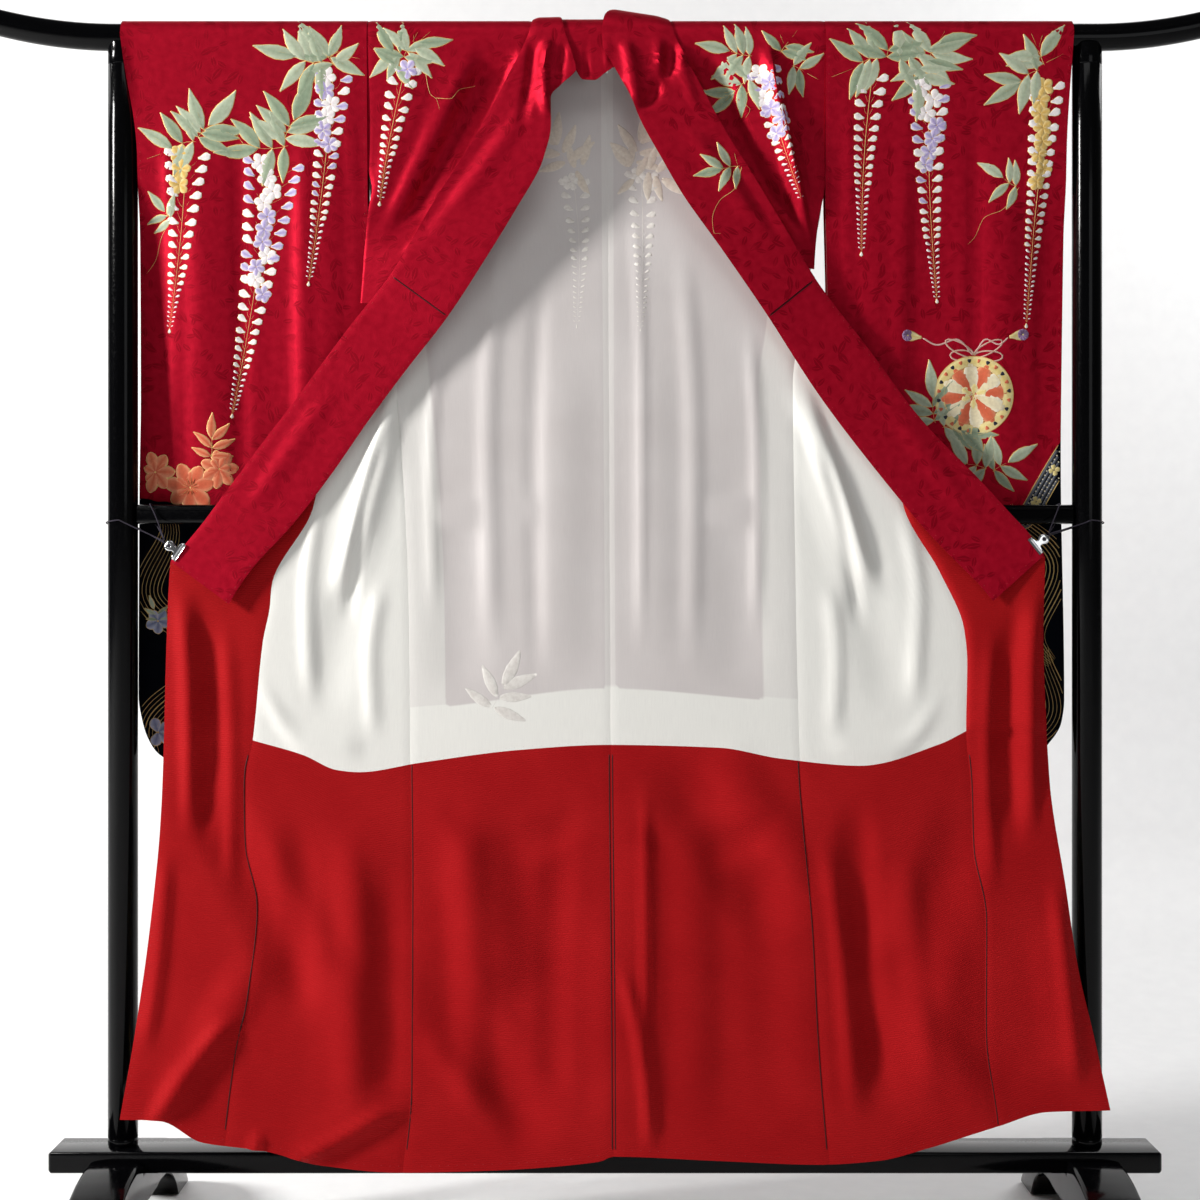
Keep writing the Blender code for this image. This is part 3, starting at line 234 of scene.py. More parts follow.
# Collar over the rail, as (angle from the front in degrees, seam x, free x, rise of the free edge)
COLLAR_WRAP = {
    "left": ((180, -0.0960, -0.0640, 0.0), (135, -0.0975, -0.0640, 0.0), (90, -0.0996, -0.0632, 0.0005),
             (45, -0.1030, -0.0600, 0.0010), (0, -0.1070, -0.0560, 0.0010)),
    "right": ((180, 0.0880, 0.0330, 0.0020), (135, 0.0880, 0.0250, 0.0080), (90, 0.0880, 0.0140, 0.0120),
              (45, 0.0920, -0.0010, 0.0080), (0, 0.0970, -0.0050, 0.0030)),
}

# Back-neck run of the collar, lower edge in front, as (x, height)
NECK_DROP = ((-0.066, 1.668), (-0.045, 1.650), (-0.031, 1.631), (-0.015, 1.630), (0.000, 1.640),
             (0.012, 1.648), (0.030, 1.655))

# Largest folds of the opened body, as (x, height, x, height, half width, rise to the viewer)
BODY_FOLDS = (
    (-0.300, 1.180, -0.372, 0.880, 0.045, 0.0060), (0.285, 1.150, 0.372, 0.880, 0.045, 0.0055),
    (-0.340, 1.020, -0.400, 0.720, 0.050, -0.0040), (0.345, 1.020, 0.410, 0.730, 0.050, -0.0040),
    (-0.585, 0.930, -0.570, 0.640, 0.035, 0.0050), (0.600, 0.930, 0.590, 0.620, 0.035, 0.0050),
    (-0.545, 0.900, -0.540, 0.560, 0.035, -0.0050), (0.558, 0.900, 0.556, 0.540, 0.035, -0.0055),
    (-0.470, 0.420, -0.619, 0.170, 0.045, 0.0070), (-0.250, 0.230, -0.440, 0.125, 0.040, 0.0045),
    (-0.345, 0.620, -0.350, 0.150, 0.075, 0.0065), (0.353, 0.560, 0.400, 0.150, 0.080, -0.0080),
    (0.440, 0.520, 0.480, 0.190, 0.070, 0.0065), (0.620, 0.480, 0.655, 0.210, 0.050, 0.0060),
    (0.045, 0.640, 0.060, 0.130, 0.045, 0.0045), (-0.110, 0.600, -0.120, 0.120, 0.080, -0.0040),
    (0.170, 0.600, 0.180, 0.130, 0.085, -0.0045), (-0.205, 1.100, -0.200, 0.740, 0.060, -0.0035),
    (0.180, 1.150, 0.190, 0.740, 0.060, -0.0035), (-0.060, 1.300, -0.070, 0.760, 0.060, 0.0035),
    (0.060, 1.300, 0.075, 0.780, 0.050, 0.0030),
)
# Broad slanting folds of the lower body, softer than its creases
HEM_FOLDS = (
    (0.070, 0.690, 0.262, 0.420, 0.060, -0.0110), (0.150, 0.700, 0.300, 0.500, 0.050, 0.0070),
    (-0.262, 0.420, -0.080, 0.130, 0.060, -0.0100), (-0.215, 0.640, -0.130, 0.330, 0.070, 0.0090),
    (-0.262, 0.300, -0.120, 0.145, 0.030, 0.0050), (-0.560, 0.640, -0.400, 0.330, 0.055, -0.0090),
    (-0.500, 0.620, -0.330, 0.260, 0.050, 0.0070), (0.520, 0.640, 0.400, 0.300, 0.060, -0.0080),
    (0.000, 0.520, 0.020, 0.120, 0.050, 0.0050), (0.330, 0.420, 0.560, 0.170, 0.050, 0.0060),
)
SHOULDER_FOLDS = (
    (0.222, 1.715, 0.2900, 1.385, 0.022, 0.0045),
    (-0.150, 1.690, -0.290, 1.410, 0.022, -0.0030), (0.130, 1.690, 0.262, 1.430, 0.022, -0.0030),
)
SLEEVE_FOLDS = (
    (-0.395, 1.640, -0.400, 0.760, 0.050, 0.0030), (-0.480, 1.640, -0.485, 0.720, 0.060, -0.0030),
    (-0.575, 1.640, -0.570, 0.720, 0.055, 0.0030), (0.380, 1.640, 0.385, 0.760, 0.050, 0.0030),
    (0.470, 1.640, 0.465, 0.720, 0.060, -0.0030), (0.570, 1.640, 0.575, 0.720, 0.055, 0.0030),
)

# Bulldog clips: grip point on the collar seam, as (x, height), and the direction out of the cloth
CLIPS = {
    "left": {"grip": (-0.5975, 0.9675), "out": (-0.83, 0.56)},
    "right": {"grip": (0.6030, 0.9760), "out": (0.78, 0.62)},
}
CLIP_CLOTH_FRONT = -0.0320
CLIP_CLOTH_REAR = -0.0238
CLIP_SKIN = (0.0, 0.0009)
CLIP_ROLL = 0.0002
CLIP_HOLE = 0.0150
# Half of a clip from its jaw, as (distance out of the cloth, half width, depth share from the front jaw, lift)
CLIP_ROWS = ((-0.0040, 0.0135, 0.0, 0.0006), (-0.0032, 0.0135, 0.0, 0.0), (-0.0016, 0.0135, 0.0, 0.0),
             (-0.0010, 0.0135, 0.0, -0.0004), (-0.0002, 0.0134, 0.0, -0.0004), (0.0006, 0.0133, 0.0, 0.0002),
             (0.0026, 0.0131, 0.0, 0.0002), (0.0034, 0.0118, 0.0, 0.0), (0.0044, 0.0052, 0.0, 0.0),
             (0.0060, 0.0044, 0.0, 0.0), (0.0085, 0.0042, 0.0, 0.0), (0.0105, 0.0054, 0.0, 0.0),
             (0.0125, 0.0067, 0.0, 0.0), (0.0150, 0.0072, 0.0, 0.0), (0.0175, 0.0068, 0.0, 0.0),
             (0.0195, 0.0058, 0.0, 0.0), (0.0212, 0.0040, 0.22, 0.0))
CLIP_TURN = (0.0222, 0.0036, 0.5, 0.0)
CORD_RADIUS = 0.0009
CORD_CLEARANCE = 0.0005
TIE_STEP = 30
TIE_POST_TOP = 1.0125
TIE_POST_LOW = 1.0020
TIE_RAIL_X = 0.640
# Cord ends at a clip, moved from the middle of its handle
TIE_ENDS = {"post front": (0, -0.0025, 0.0015), "post rear": (0, 0.0015, -0.0010),
            "rail front": (0, -0.0027, 0.0050), "rail rear": (0, 0.0, 0.0030)}
# Cord loop over the middle rail, as (lean outwards, share of the half depth, share of the height)
TIE_RAIL_LOOP = ((0.0, -1.0, 0.93), (0.002, -0.85, 1.0), (0.003, 0.85, 1.0), (0.002, 1.0, 0.93),
                 (0.0, 1.0, 0.07), (-0.002, 0.85, 0.0))

# Creases placed from the photograph, finer than the solids' folds, each down through three points as
# (x, height, x, height, x, height, flank before, flank after, rise to the viewer)
BODY_CREASES = (
    (-0.286, 1.235, -0.335, 1.060, -0.382, 0.890, 0.020, 0.030, 0.0045),
    (-0.305, 1.150, -0.345, 1.000, -0.365, 0.860, 0.012, 0.016, -0.0028),
    (0.270, 1.215, 0.330, 1.050, 0.380, 0.900, 0.030, 0.020, 0.0045),
    (0.300, 1.130, 0.340, 0.990, 0.360, 0.850, 0.016, 0.012, -0.0028),
    (-0.400, 1.060, -0.418, 0.900, -0.410, 0.740, 0.018, 0.018, 0.0022),
    (0.420, 1.030, 0.440, 0.900, 0.430, 0.740, 0.018, 0.018, 0.0022),
    (-0.315, 0.930, -0.330, 0.820, -0.325, 0.700, 0.016, 0.020, 0.0020),
    (0.315, 0.930, 0.326, 0.820, 0.320, 0.700, 0.020, 0.016, 0.0020),
    (-0.235, 1.330, -0.245, 1.100, -0.240, 0.860, 0.013, 0.013, 0.0016),
    (-0.150, 1.450, -0.165, 1.150, -0.160, 0.800, 0.022, 0.022, 0.0018),
    (-0.090, 1.400, -0.100, 1.100, -0.095, 0.760, 0.020, 0.020, -0.0014),
    (0.040, 1.500, 0.052, 1.200, 0.050, 0.800, 0.012, 0.012, 0.0014),
    (0.110, 1.420, 0.125, 1.120, 0.120, 0.780, 0.022, 0.022, 0.0016),
    (0.205, 1.300, 0.215, 1.080, 0.212, 0.840, 0.015, 0.015, 0.0018),
    (-0.515, 0.330, -0.590, 0.235, -0.630, 0.165, 0.016, 0.030, 0.0055),
    (-0.285, 0.205, -0.360, 0.160, -0.440, 0.118, 0.014, 0.026, 0.0045),
    (-0.475, 0.165, -0.483, 0.145, -0.490, 0.128, 0.012, 0.012, 0.0030),
    (0.022, 0.400, 0.055, 0.230, 0.062, 0.125, 0.012, 0.020, 0.0040),
    (0.055, 0.650, 0.056, 0.440, 0.054, 0.250, 0.010, 0.014, 0.0022),
    (0.352, 0.640, 0.365, 0.420, 0.392, 0.180, 0.040, 0.030, -0.0040),
    (0.300, 0.600, 0.330, 0.400, 0.350, 0.160, 0.020, 0.030, 0.0035),
    (0.420, 0.560, 0.430, 0.380, 0.450, 0.190, 0.040, 0.030, 0.0024),
    (-0.360, 0.600, -0.345, 0.400, -0.350, 0.150, 0.040, 0.030, 0.0024),
    (-0.310, 0.560, -0.300, 0.380, -0.300, 0.150, 0.034, 0.034, -0.0022),
    (-0.430, 0.600, -0.425, 0.450, -0.430, 0.300, 0.036, 0.036, -0.0020),
    (-0.200, 0.620, -0.190, 0.400, -0.180, 0.150, 0.040, 0.040, 0.0028),
    (-0.060, 0.600, -0.070, 0.380, -0.070, 0.160, 0.035, 0.035, -0.0020),
    (0.120, 0.620, 0.130, 0.400, 0.130, 0.160, 0.050, 0.040, 0.0016),
    (0.220, 0.600, 0.230, 0.400, 0.240, 0.160, 0.045, 0.045, -0.0016),
    (-0.596, 0.935, -0.585, 0.780, -0.580, 0.560, 0.016, 0.026, 0.0036),
    (-0.570, 0.915, -0.560, 0.760, -0.556, 0.540, 0.018, 0.022, -0.0026),
    (-0.535, 0.890, -0.525, 0.700, -0.522, 0.480, 0.016, 0.020, 0.0028),
    (0.604, 0.930, 0.594, 0.780, 0.596, 0.560, 0.026, 0.016, 0.0036),
    (0.578, 0.905, 0.570, 0.760, 0.572, 0.540, 0.022, 0.018, -0.0026),
    (0.545, 0.880, 0.535, 0.700, 0.540, 0.480, 0.020, 0.016, 0.0028),
    (0.625, 0.520, 0.640, 0.360, 0.655, 0.215, 0.018, 0.018, 0.0032),
    (-0.610, 0.560, -0.620, 0.400, -0.640, 0.260, 0.018, 0.018, 0.0030),
)
# The same running across
BODY_CREASES_ACROSS = (
    (-0.490, 0.780, -0.420, 0.700, -0.330, 0.690, 0.020, 0.030, 0.0020),
    (0.300, 0.700, 0.400, 0.690, 0.480, 0.760, 0.020, 0.030, 0.0020),
    (-0.240, 0.600, -0.120, 0.560, -0.020, 0.590, 0.035, 0.045, -0.0022),
    (0.030, 0.580, 0.140, 0.545, 0.260, 0.590, 0.035, 0.045, -0.0022),
)
SHOULDER_CREASES = (
    (-0.118, 1.700, -0.170, 1.575, -0.298, 1.380, 0.085, 0.014, -0.0210),
    (-0.172, 1.700, -0.240, 1.550, -0.320, 1.400, 0.022, 0.018, 0.0060),
    (-0.215, 1.700, -0.265, 1.560, -0.322, 1.430, 0.014, 0.014, -0.0018),
    (-0.255, 1.700, -0.290, 1.580, -0.325, 1.450, 0.016, 0.016, 0.0018),
    (0.112, 1.700, 0.165, 1.572, 0.278, 1.392, 0.014, 0.066, -0.0200),
    (0.155, 1.700, 0.205, 1.560, 0.284, 1.410, 0.014, 0.016, 0.0026),
    (0.222, 1.712, 0.255, 1.560, 0.292, 1.400, 0.022, 0.006, 0.0120),
    (0.248, 1.705, 0.275, 1.560, 0.299, 1.430, 0.006, 0.014, -0.0022),
)
COLLAR_CREASES = (
    (-0.072, 1.712, -0.084, 1.640, -0.080, 1.570, 0.015, 0.007, 0.0090),
    (-0.098, 1.700, -0.106, 1.630, -0.120, 1.550, 0.012, 0.014, -0.0060),
    (-0.057, 1.690, -0.062, 1.640, -0.070, 1.600, 0.007, 0.009, -0.0045),
    (-0.093, 1.610, -0.150, 1.530, -0.215, 1.440, 0.020, 0.018, 0.0034),
    (-0.150, 1.570, -0.215, 1.480, -0.275, 1.390, 0.014, 0.016, -0.0028),
    (0.094, 1.705, 0.090, 1.655, 0.048, 1.580, 0.016, 0.018, -0.0085),
    (0.022, 1.712, 0.038, 1.640, 0.046, 1.575, 0.016, 0.014, 0.0080),
    (0.074, 1.708, 0.076, 1.660, 0.084, 1.600, 0.010, 0.012, 0.0055),
    (0.104, 1.690, 0.110, 1.640, 0.130, 1.580, 0.008, 0.010, 0.0040),
    (0.110, 1.570, 0.160, 1.500, 0.215, 1.420, 0.020, 0.020, 0.0034),
    (0.150, 1.560, 0.200, 1.480, 0.255, 1.390, 0.014, 0.014, -0.0028),
    (-0.380, 1.200, -0.440, 1.110, -0.500, 1.020, 0.024, 0.022, 0.0026),
    (0.400, 1.180, 0.460, 1.090, 0.520, 1.010, 0.022, 0.024, 0.0026),
    (-0.027, 1.700, -0.026, 1.655, -0.024, 1.628, 0.008, 0.008, -0.0030),
    (0.003, 1.700, 0.002, 1.665, 0.002, 1.645, 0.007, 0.007, 0.0026),
)
SLEEVE_CREASES = (
    (-0.360, 1.660, -0.352, 1.400, -0.350, 1.100, 0.012, 0.014, 0.0020),
    (-0.425, 1.600, -0.430, 1.300, -0.428, 0.800, 0.020, 0.024, 0.0018),
    (-0.520, 1.640, -0.515, 1.350, -0.525, 0.850, 0.020, 0.020, -0.0016),
    (-0.620, 1.620, -0.612, 1.300, -0.618, 0.900, 0.016, 0.018, 0.0018),
    (0.345, 1.640, 0.340, 1.350, 0.338, 1.000, 0.012, 0.014, 0.0020),
    (0.425, 1.620, 0.420, 1.300, 0.424, 0.800, 0.024, 0.020, 0.0018),
    (0.520, 1.640, 0.526, 1.300, 0.520, 0.850, 0.020, 0.020, -0.0016),
    (0.612, 1.620, 0.606, 1.300, 0.610, 0.900, 0.018, 0.016, 0.0018),
)

# Zones of the cloth
DOUBLE_LINE = ((-0.275, 0.748), (0.000, 0.776), (0.220, 0.760), (0.270, 0.756), (0.480, 0.790), (-0.480, 0.770))
SIDE_ALLOWANCE = 0.050
RIM_TUCK = 0.0020
COLLAR_CLOSE = 0.0020
CREASE_DEPTH = 2.0
SLEEVE_FOLD_DEPTH = 1.5
SLEEVE_CREASE_DEPTH = 2.2
SEAM_DIP = 0.0040
SEAM_DIP_HALF = 0.009
SEAM_DIP_TOP = BOUNDARY_LEVEL + 0.75
SEAM_DIP_FADE = 0.3
SEAM_DIP_ACROSS = 0.8
CENTRE_ALLOWANCE = 0.008
GROUND_HEM = 0.560
GROUND_WAVE = 0.030
GROUND_TURN = 9.0
SLEEVE_GROUND = 1.020
# Where the body cloth stays in front of the middle rail
RAIL_FRONT = 0.0147
RAIL_REACH = 0.018

# Sewing
CLOTH_ROLL = 0.0035
CLOTH_SHARP = math.radians(60)
EDGE_SKIN = 0.0003
SEAM_START = 0.020
OKUMI_SEAM_START = 0.050
HEM_STITCH = 0.0045
SEAM_STITCH = 0.0040
STITCH_POINTS = 30
STITCH_SPACING = 0.0120
STITCH_LENGTH = 0.0021
STITCH_THICKNESS = 0.0005
STITCHES_SEED = {"lining": 3, "hem": 5, "collar": 7, "sleeve": 11}
PATH_STEP = 0.004

SIGN = {"left": -1, "right": 1}
TO_VIEWER = (0.0, -1.0, 0.0)
TO_REAR = (0.0, 1.0, 0.0)


# Smooth curves and grids

def curve_through(rows):
    """A smooth curve through (key, value) rows that never overshoots them."""
    rows = sorted(rows)
    keys = np.array([row[0] for row in rows], float)
    values = np.array([row[1] for row in rows], float)
    spans = np.diff(keys)
    rates = np.diff(values) / spans
    product, total = rates[:-1] * rates[1:], rates[:-1] + rates[1:]
    inner = np.where(product > 0, 2 * product / np.where(total == 0, 1.0, total), 0.0)
    slopes = np.concatenate((rates[:1], inner, rates[-1:]))

    def value_at(key):
        key = np.clip(np.asarray(key, float), keys[0], keys[-1])
        i = np.clip(np.searchsorted(keys, key) - 1, 0, len(spans) - 1)
        t = (key - keys[i]) / spans[i]
        blend = t * t * (3 - 2 * t)
        return (values[i] * (1 - blend) + values[i + 1] * blend
                + spans[i] * t * (1 - t) * (slopes[i] * (1 - t) - slopes[i + 1] * t))

    return value_at


def smooth(t):
    t = np.clip(t, 0.0, 1.0)
    return t * t * (3 - 2 * t)


def mix(a, b, t):
    return a + (b - a) * t


def crown(distance):
    return 0.5 + 0.5 * np.cos(np.pi * np.clip(distance, 0.0, 1.0))


def facing(points, way):
    """One direction for every point of a grid."""
    return np.broadcast_to(way, points.shape)


def rail_way(turn):
    """Direction out of the top rail at an angle from its front."""
    return np.stack((0 * turn, -np.cos(turn), np.sin(turn)), -1)


def toward(turn):
    """Direction of an angle, or of several, in the plane of the cloth."""
    return np.stack((np.cos(turn), np.sin(turn)), -1)


def run_length(path):
    """Length along a path at each of its points."""
    return np.concatenate(((0,), np.cumsum(np.linalg.norm(np.diff(path, axis=0), axis=1))))


def sideways(path):
    """Direction across a path at each of its points."""
    way = np.gradient(path, axis=0)
    way /= np.maximum(np.linalg.norm(way, axis=1), 1e-9)[:, None]
    return np.stack((-way[:, 1], way[:, 0]), -1)


def tucked(side, rows, rim):
    """A line of the opened body, kept just behind the collar's seam where the collar covers it."""
    steps = np.linspace(0, len(rows) - 1, 200)
    seam_x, seam_z = (curve_through([(i, row[k]) for i, row in enumerate(rows)])(steps) for k in (0, 1))

    def line(z):
        held = np.interp(z, seam_z[::-1], np.abs(seam_x)[::-1]) - RIM_TUCK
        return np.where(z > seam_z[-1] + RIM_TUCK, SIGN[side] * np.minimum(np.abs(rim(z)), held), rim(z))

    return line


line_at = {side: {name: curve_through(rows) for name, rows in lines.items()}
           for side, lines in LINES.items()}
back_hang = curve_through(BACK_HANG)
rim_hang = curve_through(RIM_HANG)
shoulder_seam_hang = curve_through(SHOULDER_SEAM_HANG)
shoulder_fold_hang = curve_through(SHOULDER_FOLD_HANG)
collar_hang = curve_through(COLLAR_HANG)
sleeve_front_hang = curve_through(SLEEVE_FRONT_HANG)
sleeve_back_hang = curve_through(SLEEVE_BACK_HANG)
for side, rows in COLLAR_ROWS.items():
    for name in ("rim", "front_seam"):
        line_at[side][name] = tucked(side, rows, line_at[side][name])
hem_height = curve_through(HEM_LINE)
boundary_height = curve_through(BOUNDARY_LINE)
neck_drop = curve_through(NECK_DROP)
double_line = curve_through(DOUBLE_LINE)


def line_x(side, name, z):
    return float(line_at[side][name](z))


def fold_rise(folds, x, z):
    """The solids' own folds: how far they bring the cloth towards the viewer."""
    rise = np.zeros(np.broadcast(x, z).shape)
    for x0, z0, x1, z1, half_width, height in folds:
        along_x, along_z = x1 - x0, z1 - z0
        length = math.hypot(along_x, along_z)
        t = ((x - x0) * along_x + (z - z0) * along_z) / length ** 2
        distance = np.abs((x - x0) * along_z - (z - z0) * along_x) / length
        rise += height * crown(distance / half_width) * smooth(t / 0.3) * smooth((1 - t) / 0.25)
    return rise


def crease_rise(creases, x, z, across=()):
    """Placed creases: each runs down or across through its points, with its own two flanks."""
    rise = np.zeros(np.broadcast(x, z).shape)
    for k, (x0, z0, x1, z1, x2, z2, before, after, height) in enumerate(creases + across):
        down = k < len(creases)
        rows = ((z0, x0), (z1, x1), (z2, x2)) if down else ((x0, z0), (x1, z1), (x2, z2))
        along, aside = (z, x) if down else (x, z)
        low, high = min(row[0] for row in rows), max(row[0] for row in rows)
        lean = (rows[-1][1] - rows[0][1]) / (rows[-1][0] - rows[0][0])
        offset = (aside - curve_through(rows)(along)) / math.sqrt(1 + lean * lean)
        width = np.where(offset < 0, before, after)
        t = (along - low) / (high - low)
        rise += height * crown(np.abs(offset) / width) * smooth(t / 0.22) * smooth((1 - t) / 0.22)
    return rise


def height_at(level, x):
    """Height of a row, bent to follow the lining seam and the hem."""
    seam = boundary_height(x) - BOUNDARY_LEVEL
    upper = level + seam * np.clip((LIFT_START - level) / (LIFT_START - BOUNDARY_LEVEL), 0, 1)
    share = (BOUNDARY_LEVEL - level) / (BOUNDARY_LEVEL - HEM_LEVEL)
    lower = level + seam * (1 - share) + (hem_height(x) - HEM_LEVEL) * share
    return np.where(level >= BOUNDARY_LEVEL, upper, lower)


def body_depth(side, x, z):
    """Depth of the opened body: the back, then the front out to its rim, with its creases."""
    seam = line_at[side]["side"](z)
    width = np.abs(line_at[side]["rim"](z) - seam)
    share = np.where(z < FRONT_TOP, np.clip((np.abs(x) - np.abs(seam)) / width, 0, 1), 0.0)
    hang = mix(back_hang(z), rim_hang(z), share)
    creases = crease_rise(BODY_CREASES, x, z, BODY_CREASES_ACROSS)
    rise = fold_rise(BODY_FOLDS + HEM_FOLDS, x, z) + CREASE_DEPTH * creases - seam_dips(side, x, z)
    away = smooth((np.abs(z - MID_RAIL_HEIGHT) - RAIL_REACH) / (2 * RAIL_REACH))
    return np.minimum(hang - rise, -RAIL_FRONT + away * 2 * RAIL_REACH)


def seam_dips(side, x, z):
    """The shallow valley that each sewn line pulls into the cloth."""
    dip = sum(crown((x - line_at[side][name](z)) / SEAM_DIP_HALF) for name in ("centre", "side", "front_seam"))
    dip = np.minimum(dip, 1.0) * smooth((SEAM_DIP_TOP - z) / SEAM_DIP_FADE)
    across = crown((z - boundary_height(x)) / SEAM_DIP_HALF) * SEAM_DIP_ACROSS
    return SEAM_DIP * np.maximum(dip, across)


def spaced(a, b, step):
    """Even stations from a to b, about a step apart."""
    return np.linspace(a, b, max(2, int(round(abs(b - a) / step)) + 1))


def body_grid(side, levels, near, far, columns):
    """Points of a body panel: rows of levels, columns from its near to its far line."""
    u = np.linspace(0, 1, columns + 1)[None, :]
    level = np.asarray(levels)[:, None] + 0 * u
    z = level
    for _ in range(6):
        near_x = near(z) if callable(near) else line_at[side][near](z)
        x = mix(near_x, line_at[side][far](z), u)
        z = height_at(level, x)
    points = np.stack((x, body_depth(side, x, z), z), -1)
    return points, facing(points, TO_REAR)


def rail_rows(x_near, x_far, columns, angles, radius):
    """Points round the top rail, from the front at 0 over the top to the rear at 180."""
    u = np.linspace(0, 1, columns + 1)[None, :]
    turn = np.radians(np.asarray(angles, float))[:, None] + 0 * u
    out = rail_way(turn)
    x = mix(x_near, x_far, u) + 0 * turn
    return np.stack((x, 0 * x, RAIL_HEIGHT + 0 * x), -1) + out * radius, out


def neck_edge(side):
    """Inner edge of the back panel: the centre seam, then the neck cut out to the collar."""
    neck = line_x(side, "collar_seam", RAIL_HEIGHT + RAIL_RADIUS)

    def edge(z):
        return mix(line_at[side]["centre"](z), neck, smooth((z - NECK_CUT) / (NECK_CUT_TOP - NECK_CUT)))

    return edge, neck


def stack(*grids):
    """One grid from several, one above the other."""
    return np.concatenate([g[0] for g in grids]), np.concatenate([g[1] for g in grids])


# Meshes

def place_object(name, data):
    item = bpy.data.objects.new(name, data)
    bpy.context.scene.collection.objects.link(item)
    return item


def applied(item):
    """The mesh of an item with its modifiers applied."""
    return bpy.data.meshes.new_from_object(item.evaluated_get(bpy.context.evaluated_depsgraph_get()))


def link(name, mesh, *materials):
    item = place_object(name, mesh)
    for made in materials:
        mesh.materials.append(made)
    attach(item, "root")
    return item


def plain_mesh(name, points, faces, closed=True):
    """A smooth mesh from lists, its faces turned outwards where it is closed."""
    mesh = bpy.data.meshes.new(name)
    mesh.from_pydata([tuple(p) for p in points], [], faces)
    if closed:
        mesh.validate()
        work = bmesh.new()
        work.from_mesh(mesh)
        bmesh.ops.recalc_face_normals(work, faces=work.faces)
        work.to_mesh(mesh)
        work.free()
    mesh.shade_smooth()
    return mesh


def mesh_from(name, points, faces, uvs=None, slots=None, colors=None):
    """A mesh from arrays; uvs are per corner, slots per face and colors per point."""
    mesh = bpy.data.meshes.new(name)
    faces = np.asarray(faces, np.int32)
    points = np.asarray(points, np.float32)
    sides = faces.shape[1]
    mesh.vertices.add(len(points))
    mesh.vertices.foreach_set("co", points.ravel())
    mesh.loops.add(faces.size)
    mesh.loops.foreach_set("vertex_index", faces.ravel())
    mesh.polygons.add(len(faces))
    mesh.polygons.foreach_set("loop_start", np.arange(0, faces.size, sides, dtype=np.int32))
    mesh.update(calc_edges=True)
    mesh.polygons.foreach_set("use_smooth", np.full(len(faces), True))
    if uvs is not None:
        layer = mesh.uv_layers.new(name="cloth")
        layer.uv.foreach_set("vector", np.asarray(uvs, np.float32)[faces].ravel())
    if slots is not None:
        mesh.polygons.foreach_set("material_index", np.asarray(slots, np.int32))
    for title, values in (colors or {}).items():
        values = np.asarray(values, np.float32)
        if values.ndim == 1:
            layer = mesh.attributes.new(title, "FLOAT", "POINT")
            layer.data.foreach_set("value", values)
        else:
            layer = mesh.color_attributes.new(title, "FLOAT_COLOR", "POINT")
            rgba = np.concatenate((values, np.ones((len(values), 1), np.float32)), 1)
            layer.data.foreach_set("color", rgba.ravel())
    mesh.validate()
    return mesh


def grid_faces(rows, columns, start=0, flip=False):
    i = np.arange(rows - 1)[:, None] * columns + np.arange(columns - 1)[None, :] + start
    quads = np.stack((i, i + columns, i + columns + 1, i + 1), -1).reshape(-1, 4)
    return quads[:, ::-1] if flip else quads


def measure(points):
    """Width and length along a grid in metres, for the weave."""
    across = np.linalg.norm(np.diff(points, axis=1), axis=-1)
    down = np.linalg.norm(np.diff(points, axis=0), axis=-1)
    u = np.concatenate((np.zeros((len(points), 1)), np.cumsum(across, 1)), 1)
    v = np.concatenate((np.zeros(points.shape[1:2])[None, :], np.cumsum(down, 0)), 0)
    middle = u[:, points.shape[1] // 2][:, None]
    v = np.broadcast_to(v[:, points.shape[1] // 2][:, None], u.shape)
    return np.stack((u - middle, v), -1)


def shell(name, grid, low, high, material, colors=None, roll=CLOTH_ROLL):
    """Cloth between two skins of a grid, rounded thinner at its sewn edges."""
    points, out = grid
    rows, columns = points.shape[:2]
    across = measure(points)
    width = across[..., 0] - across[:, :1, 0]
    body = np.sqrt(1 - (1 - np.clip(np.minimum(width, width[:, -1:] - width) / roll, 0, 1)) ** 2)[..., None]
    low_is_seam = abs(low) < abs(high)
    rim = low + EDGE_SKIN if low_is_seam else high - EDGE_SKIN
    outer = points + out * (mix(rim, high, body) if low_is_seam else high)
    inner = points + out * (low if low_is_seam else mix(rim, low, body))
    count = rows * columns
    faces = [grid_faces(rows, columns), grid_faces(rows, columns, count, True)]
    index = np.arange(count).reshape(rows, columns)
    for line, turn in ((index[0], 1), (index[-1], -1), (index[:, 0], -1), (index[:, -1], 1)):
        faces.append(np.stack((line[:-1], line[1:], line[1:] + count, line[:-1] + count), -1)[:, ::turn])
    faces = np.concatenate(faces)
    winding = np.cross(points[1:, :-1] - points[:-1, :-1], points[:-1, 1:] - points[:-1, :-1])
    if (winding * out[:-1, :-1]).sum() < 0:
        faces = faces[:, ::-1]
    values = {title: np.concatenate((v.reshape(count, -1),) * 2).squeeze() for title, v in (colors or {}).items()}
    mesh = mesh_from(name, np.concatenate((outer.reshape(-1, 3), inner.reshape(-1, 3))), faces,
                     np.tile(across.reshape(-1, 2), (2, 1)), colors=values)
    mesh.set_sharp_from_angle(angle=CLOTH_SHARP)
    return link(name, mesh, material)


# Materials

def linear(hex_color):
    """sRGB hex to the linear colour that the shader takes."""
    parts = [int(hex_color[i:i + 2], 16) / 255 for i in (1, 3, 5)]
    return tuple(p / 12.92 if p <= 0.04045 else ((p + 0.055) / 1.055) ** 2.4 for p in parts) + (1.0,)


